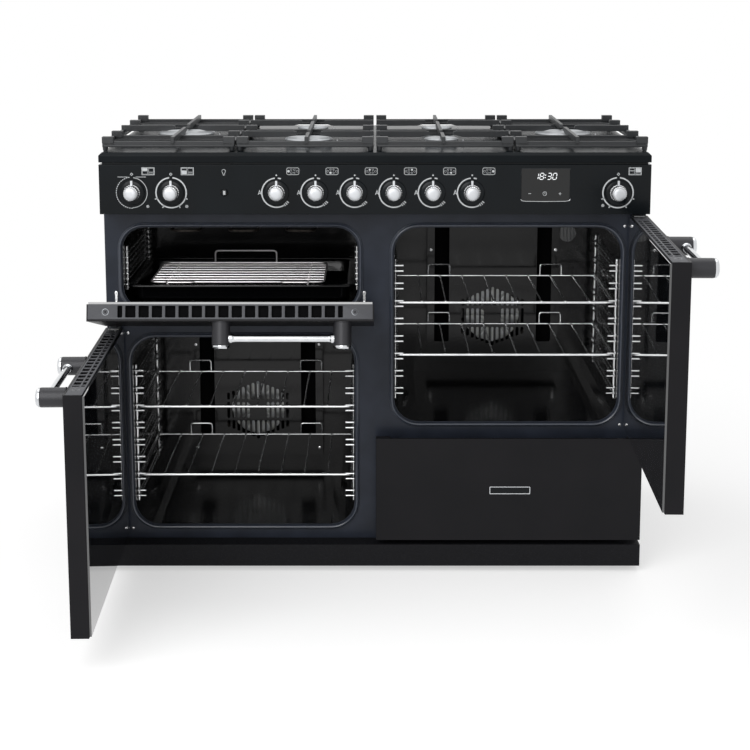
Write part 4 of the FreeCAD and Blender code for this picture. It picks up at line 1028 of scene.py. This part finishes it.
def makePan():
    bm = bmesh.new()
    top, wide, c = pan["rim"], pan["wide"], pan["corner"]
    steps = [(2.2, -3.4, c - 2), (0.6, -3.2, c), (0.2, -1.8, c), (0.8, -0.5, c), (2.6, -0.2, c),
             (wide - 3, -0.6, c - 3), (wide, -1.6, c - 3),
             (wide + 1.4, -4, c - 4), (wide + 2.4, -24, c - 6), (wide + 4.4, -29.6, c - 8), (wide + 9, -32,
                                                                                             c - 12)]
    inside = [panLoop(inset, top + drop, corner) for inset, drop, corner in steps]
    outside = [panLoop(inset - 1.3, top + drop - 1.4, corner) for inset, drop, corner in steps[:4:-1]]
    addLoft(bm, inside)
    addLoft(bm, outside + [panLoop(2.2, top - 3.4, c - 2)], (True, False))
    finishPiece("grillPan_pressing", bm, mats["enamel"], "grill_pan", ["grill_pan"], smooth=50)


makePan()
print("elements and pan made")

# screws, hinge stays and fan covers

fixings = {
    "coverAcross": 142.5, "coverUp": (48, 294.4), "coverFace": 398, "coverHead": 4.2,
    "frameScrews": ((1, 721), (1, 304), (-1, 499), (-1, 80)), "frameAcross": (507.5, 518.5), "frameHead": 3.0,
    "stays": ((-529, 560), (-22, 560)), "stayTall": 27, "stayWide": 6.5,
}


def makeFixings():
    bm = bmesh.new()
    for cx, floor in ((oven["fan"][0], oven["z"][0]) for oven in ovens.values()):
        for x in (cx - fixings["coverAcross"], cx + fixings["coverAcross"]):
            for up in fixings["coverUp"]:
                addScrew(bm, (x, fixings["coverFace"] + 0.2, floor + up), (0, -1, 0), fixings["coverHead"])
    for side, z in fixings["frameScrews"]:
        for across in fixings["frameAcross"]:
            addScrew(bm, (side * across, 0.2, z), (0, -1, 0), fixings["frameHead"])
    # graphite here paints the shade in the screw crosses
    finishPiece("screws", bm, [mats["wire"], mats["graphite"]], "cooker", smooth=30)


def makeStays():
    # the grill door's hinge stays: a bright plate on the frame with a riveted pin
    bm = bmesh.new()
    wide, tall = fixings["stayWide"] / 2, fixings["stayTall"]
    for x, z in fixings["stays"]:
        def lay(u, v, w):
            return ((x + u) * mm, (-1.5 + w) * mm, (z + v) * mm)
        outline = [(-wide, 0), (wide, 0), (wide * 0.7, tall * 0.6)] + arc(0, tall - wide, wide, 0, 180,
                                                                          10) + [(-wide * 0.7, tall * 0.6)]
        addPlate(bm, [outline], 2.4, lay, 0.3)
        addTurned(bm, Vector((x, -2.6, z + tall - wide)) * mm, (0, -1, 0), [(0, 2.1), (1.4, 2.1), (2, 1.4)], 16)
        addTurned(bm, Vector((x, -2.6, z + 5)) * mm, (0, -1, 0), [(0, 1.7), (1, 1.7), (1.4, 1)], 16)
    finishPiece("grillStays", bm, mats["wire"], "cooker")


cover = {
    "half": 151, "thick": 2, "front": 398, "rear": 434.8, "low": 30, "drop": 12, "fan": 139,
    "columns": 6, "pitch": 11.4, "slot": 6.4, "reach": 69, "fall": 4.7, "rowGap": 25, "middle": 19, "hub": 2,
    "channel": (100.5, 133.5), "channelLow": 80, "channelDrop": 34,
}


def makeCover(name, cx, floor, ceiling):
    # pressed fan cover: two air channels at its sides and three rows of slots before the fan
    bm = bmesh.new()
    half, thick, front = cover["half"], cover["thick"], cover["front"]
    low, high, fan = floor + cover["low"], ceiling - cover["drop"], floor + cover["fan"]
    outlines = [roundRect(cx - half, cx + half, low, high, 3)]
    for side in (-1, 1):
        inner, outer = sorted(side * c for c in cover["channel"])
        outlines.append(roundRect(cx + inner, cx + outer, floor + cover["channelLow"],
                                  ceiling - cover["channelDrop"], 4)[::-1])
    for k in range(-cover["columns"], cover["columns"] + 1):
        x, reach, w = cx + k * cover["pitch"], cover["reach"] - cover["fall"] * abs(k), cover["slot"] / 2
        rows = [(cover["rowGap"], reach), (-reach, -cover["rowGap"])]
        if abs(k) >= cover["hub"]:
            rows.append((-cover["middle"], cover["middle"]))
        for bottom, top in rows:
            outlines.append(roundRect(x - w, x + w, fan + bottom, fan + top, w - 0.1, 3)[::-1])

    def lay(u, v, w):
        return (u * mm, (front + thick / 2 + w) * mm, v * mm)
    addPlate(bm, outlines, thick, lay, 0.4)
    for x in (cx - half, cx + half - thick):
        addBar(bm, (x, front + 1, low + 2), (x + thick, cover["rear"], high - 2))
    for z in (low, high - thick):
        addBar(bm, (cx - half + 2, front + 1, z), (cx + half - 2, cover["rear"], z + thick))
    # painted shade: matt black sheets behind each air channel and along its inner wall, where the chamber would lie
    # in shade
    for side in (-1, 1):
        inner, outer = sorted(side * c for c in cover["channel"])
        addBar(bm, (cx + inner - 2, cover["rear"] - 0.6, low + 3), (cx + outer + 2, cover["rear"], high - 3), 1)
        wall = cx + side * (cover["channel"][0] - 2.5)
        addBar(bm, (wall - 0.6, front + 2, low + 3), (wall + 0.6, cover["rear"], high - 3), 1)
    finishPiece(name + "_pressing", bm, [mats["enamel"], mats["shadeBlack"]], "cooker", [name])


makeCover("fan_cover_left", -271.5, *ovens["left"]["z"])
makeCover("fan_cover_right", 270.1, *ovens["right"]["z"])
makeFixings()
makeStays()
print("fixings made")

# floor, light and camera

studio = {
    "lens": 78.2,            # mm on a 36 mm sensor
    "eye": (0, -3.272, 1.223),
    "pitch": 10.0,           # degrees downwards
    "shift": -0.15,
    "keyEnergy": 52,
    "fillEnergy": 24,
    "topEnergy": 24,
    "skyLight": 0.5,         # soft light of the white room on everything dull
    "paperLift": 0.5,
    "paperFade": (0.9, 2.0),  # metres from the cooker over which the paper goes to plain white
}


def showsBackground(tree):
    # 1 for the rays that show the white background: camera, mirrored and through glass
    ray = addNode(tree, "ShaderNodeLightPath").outputs
    both = addNode(tree, "ShaderNodeMath", {"operation": "MAXIMUM"}, n0=ray["Is Camera Ray"],
                   n1=ray["Is Glossy Ray"]).outputs[0]
    return addNode(tree, "ShaderNodeMath", {"operation": "MAXIMUM"}, n0=both,
                   n1=ray["Is Transmission Ray"]).outputs[0]


def whiteFloor():
    # seamless paper: keeps the soft shadow near the cooker and goes to plain white further out
    material = bpy.data.materials.new("paperFloor")
    material.use_nodes = True
    tree = material.node_tree
    tree.nodes.clear()
    paper = addNode(tree, "ShaderNodeBsdfDiffuse", {"Color": linear("#d9d9d9")})
    lift = addNode(tree, "ShaderNodeEmission", {"Color": (1, 1, 1, 1), "Strength": studio["paperLift"]})
    near = addNode(tree, "ShaderNodeAddShader", None, n0=paper.outputs[0], n1=lift.outputs[0])
    white = addNode(tree, "ShaderNodeEmission", {"Color": (1, 1, 1, 1), "Strength": 1.0})
    place = addNode(tree, "ShaderNodeTexCoord").outputs["Object"]
    away = addNode(tree, "ShaderNodeVectorMath", {"operation": "LENGTH"}, n0=place).outputs["Value"]
    start, end = studio["paperFade"]
    fade = addNode(tree, "ShaderNodeMapRange", {"From Min": start, "From Max": end,
                                                "interpolation_type": "SMOOTHSTEP"}, Value=away)
    sheet = addNode(tree, "ShaderNodeMixShader", None, n0=fade.outputs["Result"], n1=near.outputs[0],
                    n2=white.outputs[0])
    seen = addNode(tree, "ShaderNodeMixShader", None, n0=showsBackground(tree), n1=paper.outputs[0],
                   n2=sheet.outputs[0])
    addNode(tree, "ShaderNodeOutputMaterial", None, Surface=seen.outputs[0])
    return material


def makeFloor():
    bm = bmesh.new()
    for x, y in ((-8, -6), (8, -6), (8, 10), (-8, 10)):
        bm.verts.new((x, y, 0))
    bm.faces.new(bm.verts)
    data = bpy.data.meshes.new("floor")
    bm.to_mesh(data)
    bm.free()
    floor = bpy.data.objects.new("floor", data)
    data.materials.append(whiteFloor())
    bpy.context.scene.collection.objects.link(floor)


def makeWorld():
    # white room: plain white wherever the background shows, softer as light on dull surfaces
    world = bpy.data.worlds.new("studio")
    bpy.context.scene.world = world
    world.use_nodes = True
    tree = world.node_tree
    tree.nodes.clear()
    soft = addNode(tree, "ShaderNodeBackground", {"Color": (1, 1, 1, 1), "Strength": studio["skyLight"]})
    white = addNode(tree, "ShaderNodeBackground", {"Color": (1, 1, 1, 1), "Strength": 1.0})
    mixed = addNode(tree, "ShaderNodeMixShader", None, n0=showsBackground(tree), n1=soft.outputs[0],
                    n2=white.outputs[0])
    addNode(tree, "ShaderNodeOutputWorld", None, Surface=mixed.outputs[0])


def areaLight(name, place, target, size, energy):
    lamp = bpy.data.lights.new(name, "AREA")
    lamp.shape, lamp.size, lamp.size_y, lamp.energy = "RECTANGLE", size[0], size[1], energy
    light = bpy.data.objects.new(name, lamp)
    light.location = place
    light.rotation_euler = (Vector(target) - Vector(place)).to_track_quat("-Z", "Y").to_euler()
    bpy.context.scene.collection.objects.link(light)


makeFloor()
makeWorld()
areaLight("keySoftbox", (-1.6, -2.6, 2.9), (0, 0.1, 0.5), (2.4, 2.0), studio["keyEnergy"])
areaLight("fillSoftbox", (-0.9, -3.6, 1.5), (0, 0.1, 0.5), (2.0, 1.2), studio["fillEnergy"])
areaLight("topSoftbox", (0, 0.6, 3.2), (0, 0.2, 0.8), (3.0, 2.0), studio["topEnergy"])

camera = bpy.data.cameras.new("camera")
camera.lens, camera.sensor_width, camera.shift_y = studio["lens"], 36, studio["shift"]
camera.clip_start, camera.clip_end = 0.1, 50
eye = bpy.data.objects.new("camera", camera)
eye.location = studio["eye"]
eye.rotation_euler = (math.radians(90 - studio["pitch"]), 0, 0)
bpy.context.scene.collection.objects.link(eye)
bpy.context.scene.camera = eye
bpy.context.scene.view_settings.view_transform = "Standard"
print("studio ready")
